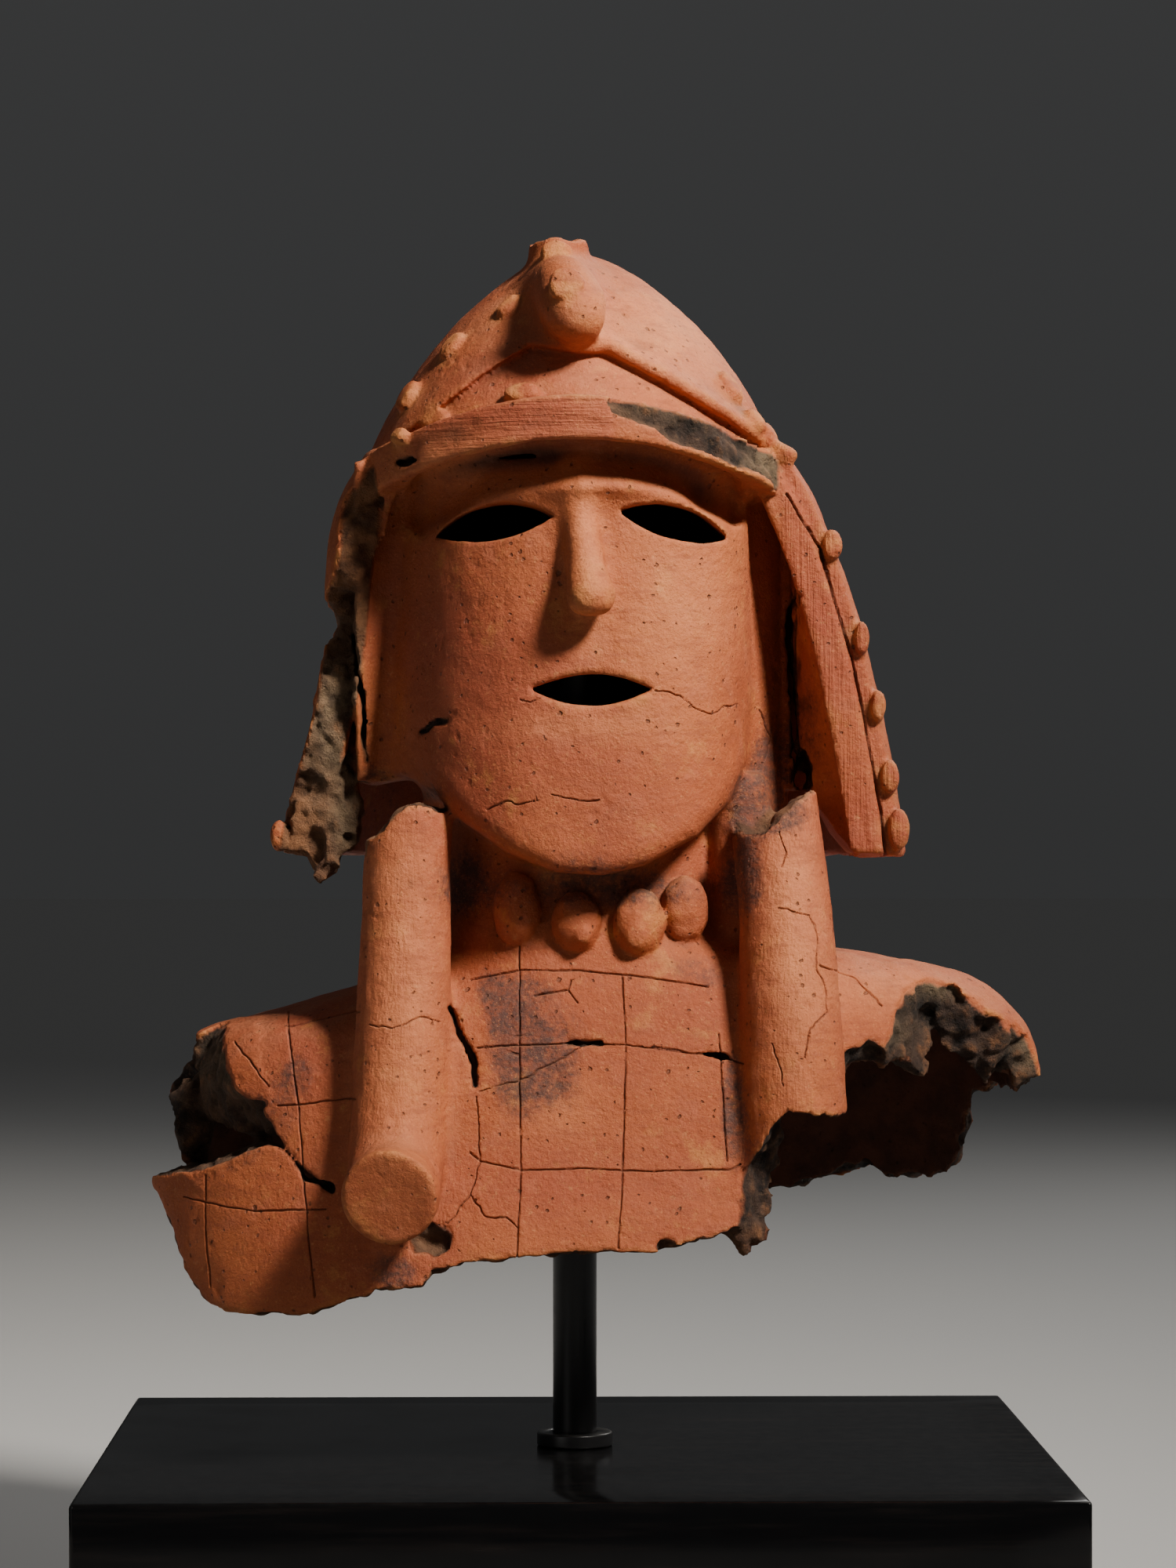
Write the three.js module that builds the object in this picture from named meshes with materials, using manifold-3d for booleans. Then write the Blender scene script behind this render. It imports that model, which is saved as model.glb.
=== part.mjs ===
// A haniwa warrior bust on its display mount: one hollow, low-fired clay figure in a riveted
// helmet, carried by a steel rod that stands in a collar on a dark block.
//
// Millimetres, +Z up, the face looks along -Y. The origin is the middle of the block's underside.
// The clay figure is one solid. It is built the way a potter builds it: a flattened body tube, a
// head tube and a domed helmet are joined, hollowed to one wall thickness, and then the thick
// parts are pressed on and the eyes, the mouth and the broken places are cut away.
import * as THREE from "three";
import { mergeVertices } from "three/addons/utils/BufferGeometryUtils.js";
import Module from "manifold-3d";

const wasm = await Module();
wasm.setup();

// ---- Driving dimensions -------------------------------------------------------------------
const GAP = 0.35; // clearance between pieces that touch

const BLOCK = { width: 291, depth: 239, height: 60, edge: 1.2 };
const ROD_RADIUS = 6.8;
const ROD_TOP_Z = 402; // just under the inside of the crown
const COLLAR = { radius: 11.7, height: 4, edge: 0.6 };

const WALL = 9.5; // thickness of the clay wall
const RELIEF = 3.2; // how far the helmet's upper plate stands over the lower one

const CHIN_Z = 237.5;
const JAW_Z = 270; // where the cheeks start to round in to the chin
const HEAD_FLOOR_Z = 262;
const BRIM_Z = 372; // middle of the brim over the nose
const DOME_FLOOR_Z = 352;
const DOME_RIM_Z = 362; // the dome goes straight up to here and rounds in above it
const CROWN_Z = 426.8;
const GUARD_Z = { low: 243, high: 366 };
const GUARD_FRONT_Y = -38;

const HEAD = { side: 64, front: 56, back: 62 };
const FACE = { side: 57, front: 69 };
const DOME = { side: 62, front: 72, back: 74 };

// Body tube: half-widths and half-depths at each height, from the hem to the neck.
const BODY = [
  { z: 96, left: 127, right: 146, front: 82, back: 70 },
  { z: 126, left: 131, right: 147, front: 76, back: 70 },
  { z: 150, left: 131, right: 147, front: 69, back: 70 },
  { z: 175, left: 127, right: 145, front: 63, back: 69 },
  { z: 188, left: 117, right: 141, front: 59.5, back: 67 },
  { z: 197, left: 88, right: 134, front: 57, back: 65 },
  { z: 206, left: 60, right: 121, front: 54, back: 61 },
  { z: 213, left: 53, right: 88, front: 51.5, back: 57 },
  { z: 219, left: 50, right: 56, front: 50, back: 54 },
  { z: 228, left: 48, right: 50, front: 48, back: 52 },
  { z: 256, left: 47, right: 48, front: 46, back: 50 },
];
const BODY_POWER = 2.15; // 2 is an ellipse, more is squarer

// Neck guard: it hangs from the helmet and flares towards its lower edge, more on the right.
const GUARD = [
  { z: 232, left: 94, right: 103, back: 114, front: 60 },
  { z: 265, left: 87, right: 98, back: 109, front: 60 },
  { z: 288, left: 80.5, right: 93.5, back: 105, front: 60 },
  { z: 312, left: 77.5, right: 88, back: 101, front: 60 },
  { z: 336, left: 76, right: 80, back: 97, front: 58 },
  { z: 350, left: 73, right: 74.5, back: 95, front: 56 },
  { z: 368, left: 63, right: 64, back: 92, front: 54 },
];
const GUARD_CENTRE_Y = -20;
const GUARD_WALL = 13;

// ---- Small tools --------------------------------------------------------------------------
// A smooth curve through the values of one key of the stations, with no overshoot between them.
function through(stations, key) {
  const slope = (i) => (stations[i + 1][key] - stations[i][key]) / (stations[i + 1].z - stations[i].z);
  const tangent = stations.map((_, i) => {
    if (i === 0) return slope(0);
    if (i === stations.length - 1) return slope(i - 1);
    const [before, after] = [slope(i - 1), slope(i)];
    return before * after > 0 ? (2 * before * after) / (before + after) : 0;
  });
  return (z) => {
    const last = stations.length - 2;
    const found = stations.findIndex((s, i) => i > last || z < stations[i + 1].z);
    const i = Math.min(Math.max(found, 0), last);
    const h = stations[i + 1].z - stations[i].z;
    const t = Math.min(Math.max((z - stations[i].z) / h, 0), 1);
    const rise = stations[i + 1][key] - stations[i][key];
    const ease = t * t * (3 - 2 * t);
    const start = t * (1 - t) * (1 - t);
    const end = t * t * (t - 1);
    return stations[i][key] + rise * ease + h * (start * tangent[i] + end * tangent[i + 1]);
  };
}

// A closed ring round the Z axis. Each quarter has its own half-width and half-depth.
function ring(z, { left, right, front, back }, count, power = 2, centreY = 0) {
  return Array.from({ length: count }, (_, i) => {
    const angle = (2 * Math.PI * i) / count;
    const [c, s] = [Math.cos(angle), Math.sin(angle)];
    const x = Math.sign(c) * Math.abs(c) ** (2 / power) * (c > 0 ? right : left);
    const y = Math.sign(s) * Math.abs(s) ** (2 / power) * (s > 0 ? back : front);
    return new THREE.Vector3(x, centreY + y, z);
  });
}

// A closed skin over rings that run counter-clockwise round the way from the first to the last.
function loft(rings) {
  const count = rings[0].length;
  const centre = (r) => r.reduce((sum, p) => sum.add(p), new THREE.Vector3()).divideScalar(count);
  const points = [...rings.flat(), centre(rings[0]), centre(rings.at(-1))];
  const [first, last] = [points.length - 2, points.length - 1];
  const faces = [];
  rings.forEach((_, i) => {
    for (let j = 0; j < count; j++) {
      const k = (j + 1) % count;
      const [a, b] = [i * count + j, i * count + k];
      if (i === 0) faces.push(first, b, a);
      if (i === rings.length - 1) faces.push(last, a, b);
      else faces.push(a, b, b + count, a, b + count, a + count);
    }
  });
  const geometry = new THREE.BufferGeometry().setFromPoints(points);
  return geometry.setIndex(faces);
}

// Rings across a curve, for ropes and rolls of clay. size(t) gives [half-width, half-depth].
function rollGeometry(curve, steps, count, size) {
  const up = new THREE.Vector3(1, 0, 0);
  const rings = Array.from({ length: steps + 1 }, (_, i) => {
    const t = i / steps;
    const along = curve.getTangentAt(t);
    const side = up.clone().addScaledVector(along, -up.dot(along)).normalize();
    const over = new THREE.Vector3().crossVectors(along, side);
    const [wide, deep] = size(t);
    return Array.from({ length: count }, (_, j) => {
      const angle = (2 * Math.PI * j) / count;
      return curve
        .getPointAt(t)
        .addScaledVector(side, wide * Math.cos(angle))
        .addScaledVector(over, deep * Math.sin(angle));
    });
  });
  return loft(rings);
}

// A three.js geometry as a solid that can be joined and cut.
function solid(geometry) {
  const bare = geometry.clone();
  bare.deleteAttribute("normal");
  bare.deleteAttribute("uv");
  const merged = mergeVertices(bare, 1e-4);
  const mesh = new wasm.Mesh({
    numProp: 3,
    vertProperties: merged.attributes.position.array,
    triVerts: new Uint32Array(merged.index.array),
  });
  return new wasm.Manifold(mesh);
}

function geometryOf(made) {
  const mesh = made.getMesh();
  const geometry = new THREE.BufferGeometry();
  geometry.setAttribute("position", new THREE.BufferAttribute(mesh.vertProperties, 3));
  geometry.setIndex(new THREE.BufferAttribute(mesh.triVerts, 1));
  geometry.computeVertexNormals();
  return geometry;
}

const joined = (parts) => parts.reduce((sum, part) => sum.add(part));

// An outline drawn in the front view ([x, z] points), made into a slab from y = near to y = far.
function frontSlab(outline, near, far) {
  const shape = new THREE.Shape(outline.map(([x, z]) => new THREE.Vector2(x, z)));
  const geometry = new THREE.ExtrudeGeometry(shape, { depth: far - near, bevelEnabled: false });
  geometry.rotateX(Math.PI / 2);
  return solid(geometry.translate(0, far, 0));
}

// An outline drawn in the side view ([y, z] points), made into a slab from x = low to x = high.
function sideSlab(outline, low, high) {
  const shape = new THREE.Shape(outline.map(([y, z]) => new THREE.Vector2(y, z)));
  const geometry = new THREE.ExtrudeGeometry(shape, { depth: high - low, bevelEnabled: false });
  geometry.rotateX(Math.PI / 2).rotateZ(Math.PI / 2);
  return solid(geometry.translate(low, 0, 0));
}

function pebble(place, radii, turn = [0, 0, 0], detail = [10, 6]) {
  const geometry = new THREE.SphereGeometry(1, ...detail).scale(...radii);
  geometry.rotateX(turn[0]).rotateY(turn[1]).rotateZ(turn[2]);
  return solid(geometry.translate(...place));
}

// ---- The hollow clay figure ---------------------------------------------------------------
const bodyHalf = {
  left: through(BODY, "left"),
  right: through(BODY, "right"),
  front: through(BODY, "front"),
  back: through(BODY, "back"),
};

// The body tube, made smaller by `inset` all round and under the shoulders, for its hollow. The
// hollow runs on up through the neck into the head.
function bodyTube(inset, count) {
  const [low, high] = [BODY[0].z, BODY.at(-1).z];
  const heights = [low, 126, 150, 168, 180, 188, 194, 200, 206, 211, 215, 220, 228, high];
  const rings = heights.map((z) => {
    const half = Object.fromEntries(
      Object.entries(bodyHalf).map(([key, at]) => [key, at(z) - inset]),
    );
    const top = z === high && inset > 0;
    return ring(top ? HEAD_FLOOR_Z + 25 : z - inset, half, count, BODY_POWER);
  });
  return solid(loft(rings));
}

// How wide the dome is, as a share of its width at the rim, for a rise of 0 (rim) to 1 (crown).
function domeShare(rise) {
  return (1 - rise ** 1.25) ** 0.6;
}

function dome(grow, count) {
  const steps = 8;
  const rings = Array.from({ length: steps + 1 }, (_, i) => {
    const rise = Math.sin((Math.PI / 2) * Math.min(i / steps, 0.985));
    const share = domeShare(rise);
    const half = {
      left: (DOME.side + grow) * share,
      right: (DOME.side + grow) * share,
      front: (DOME.front + grow) * share,
      back: (DOME.back + grow) * share,
    };
    const z = DOME_RIM_Z + (CROWN_Z + grow - DOME_RIM_Z) * rise;
    return ring(i === 0 ? DOME_FLOOR_Z : z, half, count);
  });
  return solid(loft(rings));
}

function headTube(inset, count) {
  const half = {
    left: HEAD.side - inset,
    right: HEAD.side - inset,
    front: HEAD.front - inset,
    back: HEAD.back - inset,
  };
  const floor = HEAD_FLOOR_Z + inset;
  return solid(loft([floor, DOME_FLOOR_Z + 8].map((z) => ring(z, half, count))));
}

// The face's outline in the front view: straight cheeks and a round, narrowing chin.
const CHIN = [
  [-58, 366], [-58, 292], [-55, 277], [-47, 266.5], [-34, 253.3], [-20.5, 244], [-7, CHIN_Z + 1],
  [7, CHIN_Z], [20, 240.7], [35.5, 249], [46, 259.5], [54, 272], [58, 292], [58, 366],
];

// The face: an upright bulge of the head, cut to that outline.
function faceBulge(inset) {
  const lean = (z) => 2.5 * Math.cos((Math.PI * (z - CHIN_Z)) / (BRIM_Z - CHIN_Z));
  const heights = [CHIN_Z - 4, JAW_Z, 300, 335, 364];
  const bulge = heights.map((z) => {
    const front = FACE.front + lean(z) - inset;
    return ring(z, { left: FACE.side - inset, right: FACE.side - inset, front, back: 20 }, 32);
  });
  const outline = CHIN.map(([x, z]) => [x * (1 - inset / FACE.side), z + inset]);
  return solid(loft(bulge)).intersect(frontSlab(outline, -90, 30));
}

// The parts of the body wall that are left, seen from the front, on its front and back halves.
const FRONT_LEFT_OF_HOLE = [
  [-150, 250], [-108, 250], [-107.5, 192], [-107, 186], [-103.5, 174.5], [-98, 171], [-91, 169],
  [-94, 167], [-90, 160], [-83.5, 151], [-79, 144], [-72, 141.5], [-73.5, 137], [-82, 146],
  [-86, 153], [-90, 156.5], [-96, 156], [-110, 149.5], [-115, 148], [-123, 146.5], [-150, 143.5],
];
const FRONT_HEM = [
  [-127, 138], [-116, 114], [-111, 109.5], [-103, 106.5], [-79, 108], [-60, 115.5], [-46, 116],
  [-43, 121], [-32, 124], [-2, 126.5], [21, 127], [43, 132],
];
const FRONT_RIGHT_BREAK = [
  [47, 134], [48, 152], [55, 166], [68, 178], [81, 185.5], [87, 188], [92, 186], [98, 202],
  [106, 205], [117, 202.5], [126, 195], [139, 187], [160, 186], [160, 250],
];
const BACK_LEFT_BREAK = [
  [-116, 250], [-117, 189], [-118, 181], [-127, 169], [-123, 158], [-121.5, 150], [-113, 143],
];
const BACK_HEM = [
  [-92, 141], [-60, 138], [-22, 141], [14, 137], [42, 139], [64, 136], [88, 139], [95, 143],
  [110, 139], [121.5, 145], [127.5, 158], [127, 168], [137, 171], [146, 176], [160, 180], [160, 250],
];

function body(count) {
  const wall = bodyTube(0, count).subtract(bodyTube(WALL, count - 8));
  const split = -4; // the plane between the front and the back half of the wall
  const frontOutline = [...FRONT_LEFT_OF_HOLE.slice(1, -1), ...FRONT_HEM, ...FRONT_RIGHT_BREAK];
  frontOutline.splice(FRONT_LEFT_OF_HOLE.length - 2, 0, [-131, 143.5]);
  const front = frontSlab(frontOutline, -120, split);
  const back = frontSlab([...BACK_LEFT_BREAK, ...BACK_HEM], split - 0.01, 120);
  return wall.intersect(front.add(back));
}

// Neck guard: a flaring shell round the sides and back. Its right front edge is whole and its
// left one is broken away.
function guardShell(inset, count) {
  const keys = ["left", "right", "back", "front"];
  const [left, right, back, front] = keys.map((key) => through(GUARD, key));
  const heights = inset ? [225, 265, 312, 345, 375] : [243, 265, 290, 312, 336, 350, 366];
  const rings = heights.map((z) => {
    const half = {
      left: left(z) - inset,
      right: right(z) - inset,
      back: back(z) - inset,
      front: front(z) - inset,
    };
    return ring(z, half, count, 2, GUARD_CENTRE_Y);
  });
  return solid(loft(rings));
}

const GUARD_LEFT_BREAK = [
  [-110, 333], [-36, 333], [-31, 326], [-18, 321], [-11, 314], [-10, 305], [-17, 302], [-21, 294],
  [-22, 280], [-20, 270], [-15, 262], [-12, 252], [-8, 244], [-10, 230], [-110, 230],
];

function neckGuard() {
  const shell = guardShell(0, 36).subtract(guardShell(GUARD_WALL, 32));
  const open = [[-110, 225], [GUARD_FRONT_Y, 225], [GUARD_FRONT_Y, 380], [-110, 380]];
  const web = [[58, 334], [58, 262], [85, 256], [82, 288], [76, 312], [68, 332]];
  const right = frontSlab(web, -17, -7);
  const left = frontSlab(web.map(([x, z]) => [-x, z]).reverse(), 0, 12);
  return shell
    .subtract(sideSlab(open, -130, 130))
    .subtract(sideSlab(GUARD_LEFT_BREAK, -130, -40))
    .add(right)
    .add(left);
}

// Brim: a thick strip laid round the front of the helmet, lower at its two ends.
function brim() {
  const half = { deep: 6.2, high: 6.6, cut: 1.8 };
  const [startAngle, endAngle, steps] = [1.125 * Math.PI, 1.875 * Math.PI, 14];
  const rings = Array.from({ length: steps + 1 }, (_, i) => {
    const angle = startAngle + ((endAngle - startAngle) * i) / steps;
    const [c, s] = [Math.cos(angle), Math.sin(angle)];
    const z = BRIM_Z - 17 * c * c;
    const corners = [
      [-half.deep, -half.high], [-half.deep, half.high], [half.deep - half.cut, half.high],
      [half.deep, half.high - half.cut], [half.deep, -half.high + half.cut],
      [half.deep - half.cut, -half.high],
    ];
    return corners.map(([out, up]) => new THREE.Vector3((65.5 + out) * c, (76.5 + out) * s, z + up));
  });
  return solid(loft(rings));
}

// The helmet's upper plate overlaps the lower one. Its edge is a chevron that opens downwards.
function upperPlate() {
  const chevron = [
    [-90, 352], [-58, 366], [-45, 375], [-29, 387], [-14, 396], [8, 394], [26, 384.5], [45, 374],
    [58, 366], [90, 352], [90, 470], [-90, 470],
  ];
  return dome(RELIEF, 32).intersect(frontSlab(chevron, -110, 110));
}

// Keel: a rib from the beak over the forehead to the broken socket on the crown.
function keel() {
  const spine = new THREE.CatmullRomCurve3(
    [[0, -67, 393], [-1, -61, 403], [-3, -49, 413], [-5, -33, 420], [-5.5, -14, 424]].map(
      (p) => new THREE.Vector3(...p),
    ),
  );
  const rib = rollGeometry(spine, 7, 10, (t) => {
    const beak = Math.sin(Math.PI * Math.min(0.5, 0.18 + 2.2 * t));
    return [9.4 * beak, 8.5 * beak];
  });
  const socket = new THREE.CylinderGeometry(9.6, 11, 16, 14).rotateX(Math.PI / 2 + 0.12);
  socket.translate(-5.3, -11, 422.5);
  const bore = new THREE.CylinderGeometry(5, 5, 6, 10).rotateX(Math.PI / 2).translate(-5.3, -9.5, 431);
  return solid(rib).add(solid(socket)).subtract(solid(bore));
}

function nose() {
  const [top, tip] = [358, 313.5];
  const rings = Array.from({ length: 8 }, (_, i) => {
    const t = i / 7;
    const z = tip + (top - tip) * t;
    const proud = 15 * (1 - t) ** 0.8 + 0.5;
    const half = 6.6 * (1 - t) ** 0.7 + 1.6;
    const corners = [[0, 6], [-half, 4], [-half * 0.95, -1], [-half * 0.4, -proud], [half * 0.4, -proud],
      [half * 0.95, -1], [half, 4]];
    return corners.map(([x, y]) => new THREE.Vector3(x + 3 - 4.5 * t, y - 66.5, z));
  });
  return solid(loft(rings));
}

// An eye or mouth slit: two arcs that meet in points, cut right through the face.
function slit({ x, z, length, above, below, turn }) {
  const steps = 7;
  const arc = (sign, rise) =>
    Array.from({ length: steps }, (_, i) => {
      const t = i / steps;
      const along = (t - 0.5) * length * sign;
      return [along, sign * rise * 4 * t * (1 - t)];
    });
  const [c, s] = [Math.cos(turn), Math.sin(turn)];
  const outline = [...arc(1, -below), ...arc(-1, -above)].map(([u, v]) => [
    x + u * c - v * s,
    z + u * s + v * c,
  ]);
  return frontSlab(outline, -100, -25);
}

const SLITS = [
  { x: -25.2, z: 341.3, length: 34, above: 5.8, below: 4.2, turn: 0.14 },
  { x: 28.4, z: 341.8, length: 33, above: 5.8, below: 4, turn: -0.19 },
  { x: 4, z: 292.7, length: 36, above: 4.3, below: 4.9, turn: 0 },
];

// Hair locks: two thick rolls that hang from the temples. The left one ends in a forward elbow,
// the right one is broken off below.
function locks() {
  const curve = (points) => new THREE.CatmullRomCurve3(points.map((p) => new THREE.Vector3(...p)));
  const left = curve([[-50.5, -45, 258], [-51.5, -50, 222], [-52.5, -57, 185], [-53.5, -64, 160],
    [-54.5, -76, 147], [-55.2, -98, 144.5]]);
  const right = curve([[59.5, -40, 266], [61.5, -48, 236], [63.5, -56, 200], [65, -62, 148]]);
  const leftRoll = solid(rollGeometry(left, 14, 14, (t) => Array(2).fill(12.8 + 1.5 * Math.min(1, 2 * t))));
  const rightRoll = solid(rollGeometry(right, 8, 14, (t) => Array(2).fill(13.2 + 2.6 * t)));
  const top = [[-75, 249], [-62, 246.5], [-54, 255], [-48, 259], [-30, 256], [-30, 275], [-75, 275]];
  const foot = [[40, 152], [54, 153], [57, 164], [62, 168.5], [72, 167], [90, 167], [90, 130], [40, 130]];
  return leftRoll.subtract(frontSlab(top, -80, -20)).add(rightRoll.subtract(frontSlab(foot, -90, -30)));
}

// Where the roll above the left lock has come away, a gap is left under the cheek.
function cheekGap() {
  return pebble([-57, -40, 261], [11, 17, 6.5], [0, 0.15, 0]);
}

const BEADS = [
  [-19.8, -46.5, 226], [-1, -50, 223.5], [18.5, -47.5, 222.5], [33, -40, 226],
];

// Rivets on the dome: [x, z, radius across, radius up]. They sit where the plate's skin is.
const DOME_RIVETS = [
  [-20, 409, 3.6, 4.6], [-37, 397.5, 3.8, 4.6], [-50.5, 382.5, 4, 5], [46, 385, 3.6, 4.8],
  [54, 374, 4, 4], [61, 366, 3.6, 4.6],
];

// Rivets on the keel, the brim and the guard's front edge: [x, y, z, radius across, radius up].
const EDGE_RIVETS = [
  [-2.5, -57, 413, 5, 5], [-16.5, -80.5, 379, 5, 3], [-41, -69, 372.5, 5.6, 3],
  [-54.5, -58, 366, 3.4, 2.4], [76.5, -36, 337.5, 4, 5.2], [85.5, -36, 309, 3.6, 5],
  [90.5, -36, 288.6, 3.4, 5], [94.5, -36, 267, 3.4, 5], [97, -36, 251, 3.4, 6],
];

function onDome(x, z) {
  const share = domeShare((z - DOME_RIM_Z) / (CROWN_Z + RELIEF - DOME_RIM_Z));
  const across = x / ((DOME.side + RELIEF) * share);
  return [x, -(DOME.front + RELIEF) * share * Math.sqrt(Math.max(0, 1 - across * across)), z];
}

function appliedClay() {
  const beads = BEADS.map((place) => pebble(place, [7.1, 6, 9.6], [0, 0, 0], [10, 6]));
  const domeRivets = DOME_RIVETS.map(([x, z, across, up]) =>
    pebble(onDome(x, z), [across, 4, up], [0, 0, Math.asin(x / DOME.side)], [7, 5]),
  );
  const edgeRivets = EDGE_RIVETS.map(([x, y, z, across, up]) =>
    pebble([x, y, z], [across, 4.4, up], [0, 0, 0], [7, 5]),
  );
  return joined([...beads, ...domeRivets, ...edgeRivets]);
}

function figure() {
  const outside = joined([dome(0, 32), headTube(0, 28), faceBulge(0)]);
  const inside = joined([dome(-WALL, 24), headTube(WALL, 24), faceBulge(WALL), bodyTube(WALL, 28)]);
  const shell = joined([outside, brim(), upperPlate(), neckGuard()]).subtract(inside);
  const clay = joined([shell, body(36), keel().subtract(dome(-WALL, 24)), nose(), locks(), appliedClay()]);
  return SLITS.map(slit).reduce((sum, cut) => sum.subtract(cut), clay.subtract(cheekGap()));
}

// ---- The mount ----------------------------------------------------------------------------
// The rod runs up inside the hollow figure until it meets the inside of the crown.
function rod() {
  const low = BLOCK.height + GAP;
  const length = ROD_TOP_Z - low;
  const geometry = new THREE.CylinderGeometry(ROD_RADIUS, ROD_RADIUS, length, 32);
  return geometry.rotateX(Math.PI / 2).translate(0, 0, low + length / 2);
}

function collar() {
  const { radius, height, edge } = COLLAR;
  const inner = ROD_RADIUS + GAP;
  const profile = [[inner, 0], [radius, 0], [radius, height - edge], [radius - edge, height],
    [inner, height], [inner, 0]];
  const geometry = new THREE.LatheGeometry(profile.map((p) => new THREE.Vector2(...p)), 32);
  return geometry.rotateX(Math.PI / 2).translate(0, 0, BLOCK.height + GAP);
}

function block() {
  const { width, depth, height, edge } = BLOCK;
  const outline = new THREE.Shape();
  outline.moveTo(-width / 2, -depth / 2);
  outline.lineTo(width / 2, -depth / 2);
  outline.lineTo(width / 2, depth / 2);
  outline.lineTo(-width / 2, depth / 2);
  const bevel = { bevelThickness: edge, bevelSize: edge, bevelOffset: -edge, bevelSegments: 2 };
  const geometry = new THREE.ExtrudeGeometry(outline, { depth: height - 2 * edge, ...bevel });
  return geometry.translate(0, 0, edge);
}

// ---- The scene graph ----------------------------------------------------------------------
const clay = new THREE.MeshStandardMaterial({ color: 0xc2694a, roughness: 0.85, metalness: 0 });
const steel = new THREE.MeshStandardMaterial({ color: 0x101012, roughness: 0.35, metalness: 0.6 });
const lacquer = new THREE.MeshStandardMaterial({ color: 0x0b0a0b, roughness: 0.25, metalness: 0 });

function named(name, geometry, material) {
  const mesh = new THREE.Mesh(geometry, material);
  mesh.name = name;
  return mesh;
}

const bust = new THREE.Group();
bust.add(
  named("haniwa_figure", geometryOf(figure()), clay),
  named("mount_rod", rod(), steel),
  named("rod_collar", collar(), steel),
  named("mount_block", block(), lacquer),
);

export default bust;
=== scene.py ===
# %% [markdown]
# # A haniwa warrior bust on its display mount
# Haniwa are hollow clay figures that were coiled, pressed and fired in the open about 1,500 years
# ago. This one is a warrior's bust: a riveted helmet, a mask-like face with cut-through eyes and
# mouth, two rolls of hair, and shoulders broken off at the arms. A steel rod in a dark block
# carries it.
# The lesson works as the potter did. The clay is a block of small cells, each holding its distance
# to the surface. Lumps are pressed on, the inside is scooped out, breaks are cut, and only then is
# a skin drawn over it, because soft joints and broken edges are hard to make from flat faces.

# %% Load the frame that the construction gives
import math

import bpy
import numpy as np
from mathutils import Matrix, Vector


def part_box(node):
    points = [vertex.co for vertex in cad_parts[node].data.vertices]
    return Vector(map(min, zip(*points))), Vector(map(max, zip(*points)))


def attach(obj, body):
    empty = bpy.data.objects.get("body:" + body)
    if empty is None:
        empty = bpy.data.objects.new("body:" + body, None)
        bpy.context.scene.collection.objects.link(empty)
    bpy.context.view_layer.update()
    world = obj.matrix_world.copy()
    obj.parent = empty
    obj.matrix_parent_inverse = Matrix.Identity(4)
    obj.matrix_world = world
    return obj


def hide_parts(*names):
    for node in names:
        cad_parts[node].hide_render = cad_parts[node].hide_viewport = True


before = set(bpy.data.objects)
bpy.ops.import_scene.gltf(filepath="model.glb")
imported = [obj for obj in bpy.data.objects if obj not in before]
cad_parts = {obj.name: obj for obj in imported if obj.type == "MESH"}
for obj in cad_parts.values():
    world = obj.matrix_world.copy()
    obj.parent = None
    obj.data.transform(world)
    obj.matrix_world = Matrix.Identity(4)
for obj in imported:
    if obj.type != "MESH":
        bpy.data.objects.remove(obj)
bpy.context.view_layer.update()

import openvdb
from mathutils import Vector

MM = 0.001

# %% [markdown]
# ## Studio
# A plain pale floor, one soft lamp high on the right with a grid that keeps its light off the
# floor, a weak lamp on the left, one behind, and a camera at the height of the figure's jaw. The
# room gives a little light from everywhere, so that the hollows stay readable.

# %% Camera
CAMERA_PLACE, CAMERA_TARGET = (-0.0229, -1.400, 0.2525), (0.0041, 0.0, 0.2652)
lens = bpy.data.cameras.new("portrait_lens")
lens.sensor_width = 36.0
lens.lens = 103.4
camera = bpy.data.objects.new("portrait_camera", lens)
camera.location = CAMERA_PLACE
aim = Vector(CAMERA_TARGET) - Vector(CAMERA_PLACE)
camera.rotation_euler = aim.to_track_quat("-Z", "Y").to_euler()
bpy.context.scene.collection.objects.link(camera)
bpy.context.scene.camera = camera
print("camera distance in metres:", round(aim.length, 3))


# %% Lamps and room
def soft_lamp(name, place, target, side, watts, colour, spread=180):
    lamp = bpy.data.lights.new(name, "AREA")
    lamp.spread = math.radians(spread)
    lamp.shape = "SQUARE"
    lamp.size = side
    lamp.energy = watts
    lamp.color = colour
    holder = bpy.data.objects.new(name, lamp)
    holder.location = place
    holder.rotation_euler = (Vector(target) - Vector(place)).to_track_quat("-Z", "Y").to_euler()
    bpy.context.scene.collection.objects.link(holder)


figure_middle, helmet_top = (0.0, 0.0, 0.27), (-0.02, 0.0, 0.42)
soft_lamp("key_lamp", (1.0, -1.15, 1.56), helmet_top, 0.34, 5.7, (1.0, 0.94, 0.86), spread=46)
soft_lamp("fill_lamp", (-1.4, -1.5, 0.4), figure_middle, 1.0, 2.1, (1.0, 0.97, 0.93))
soft_lamp("back_lamp", (0.9, 1.3, 1.4), figure_middle, 0.8, 13, (1.0, 0.98, 0.95))

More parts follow.
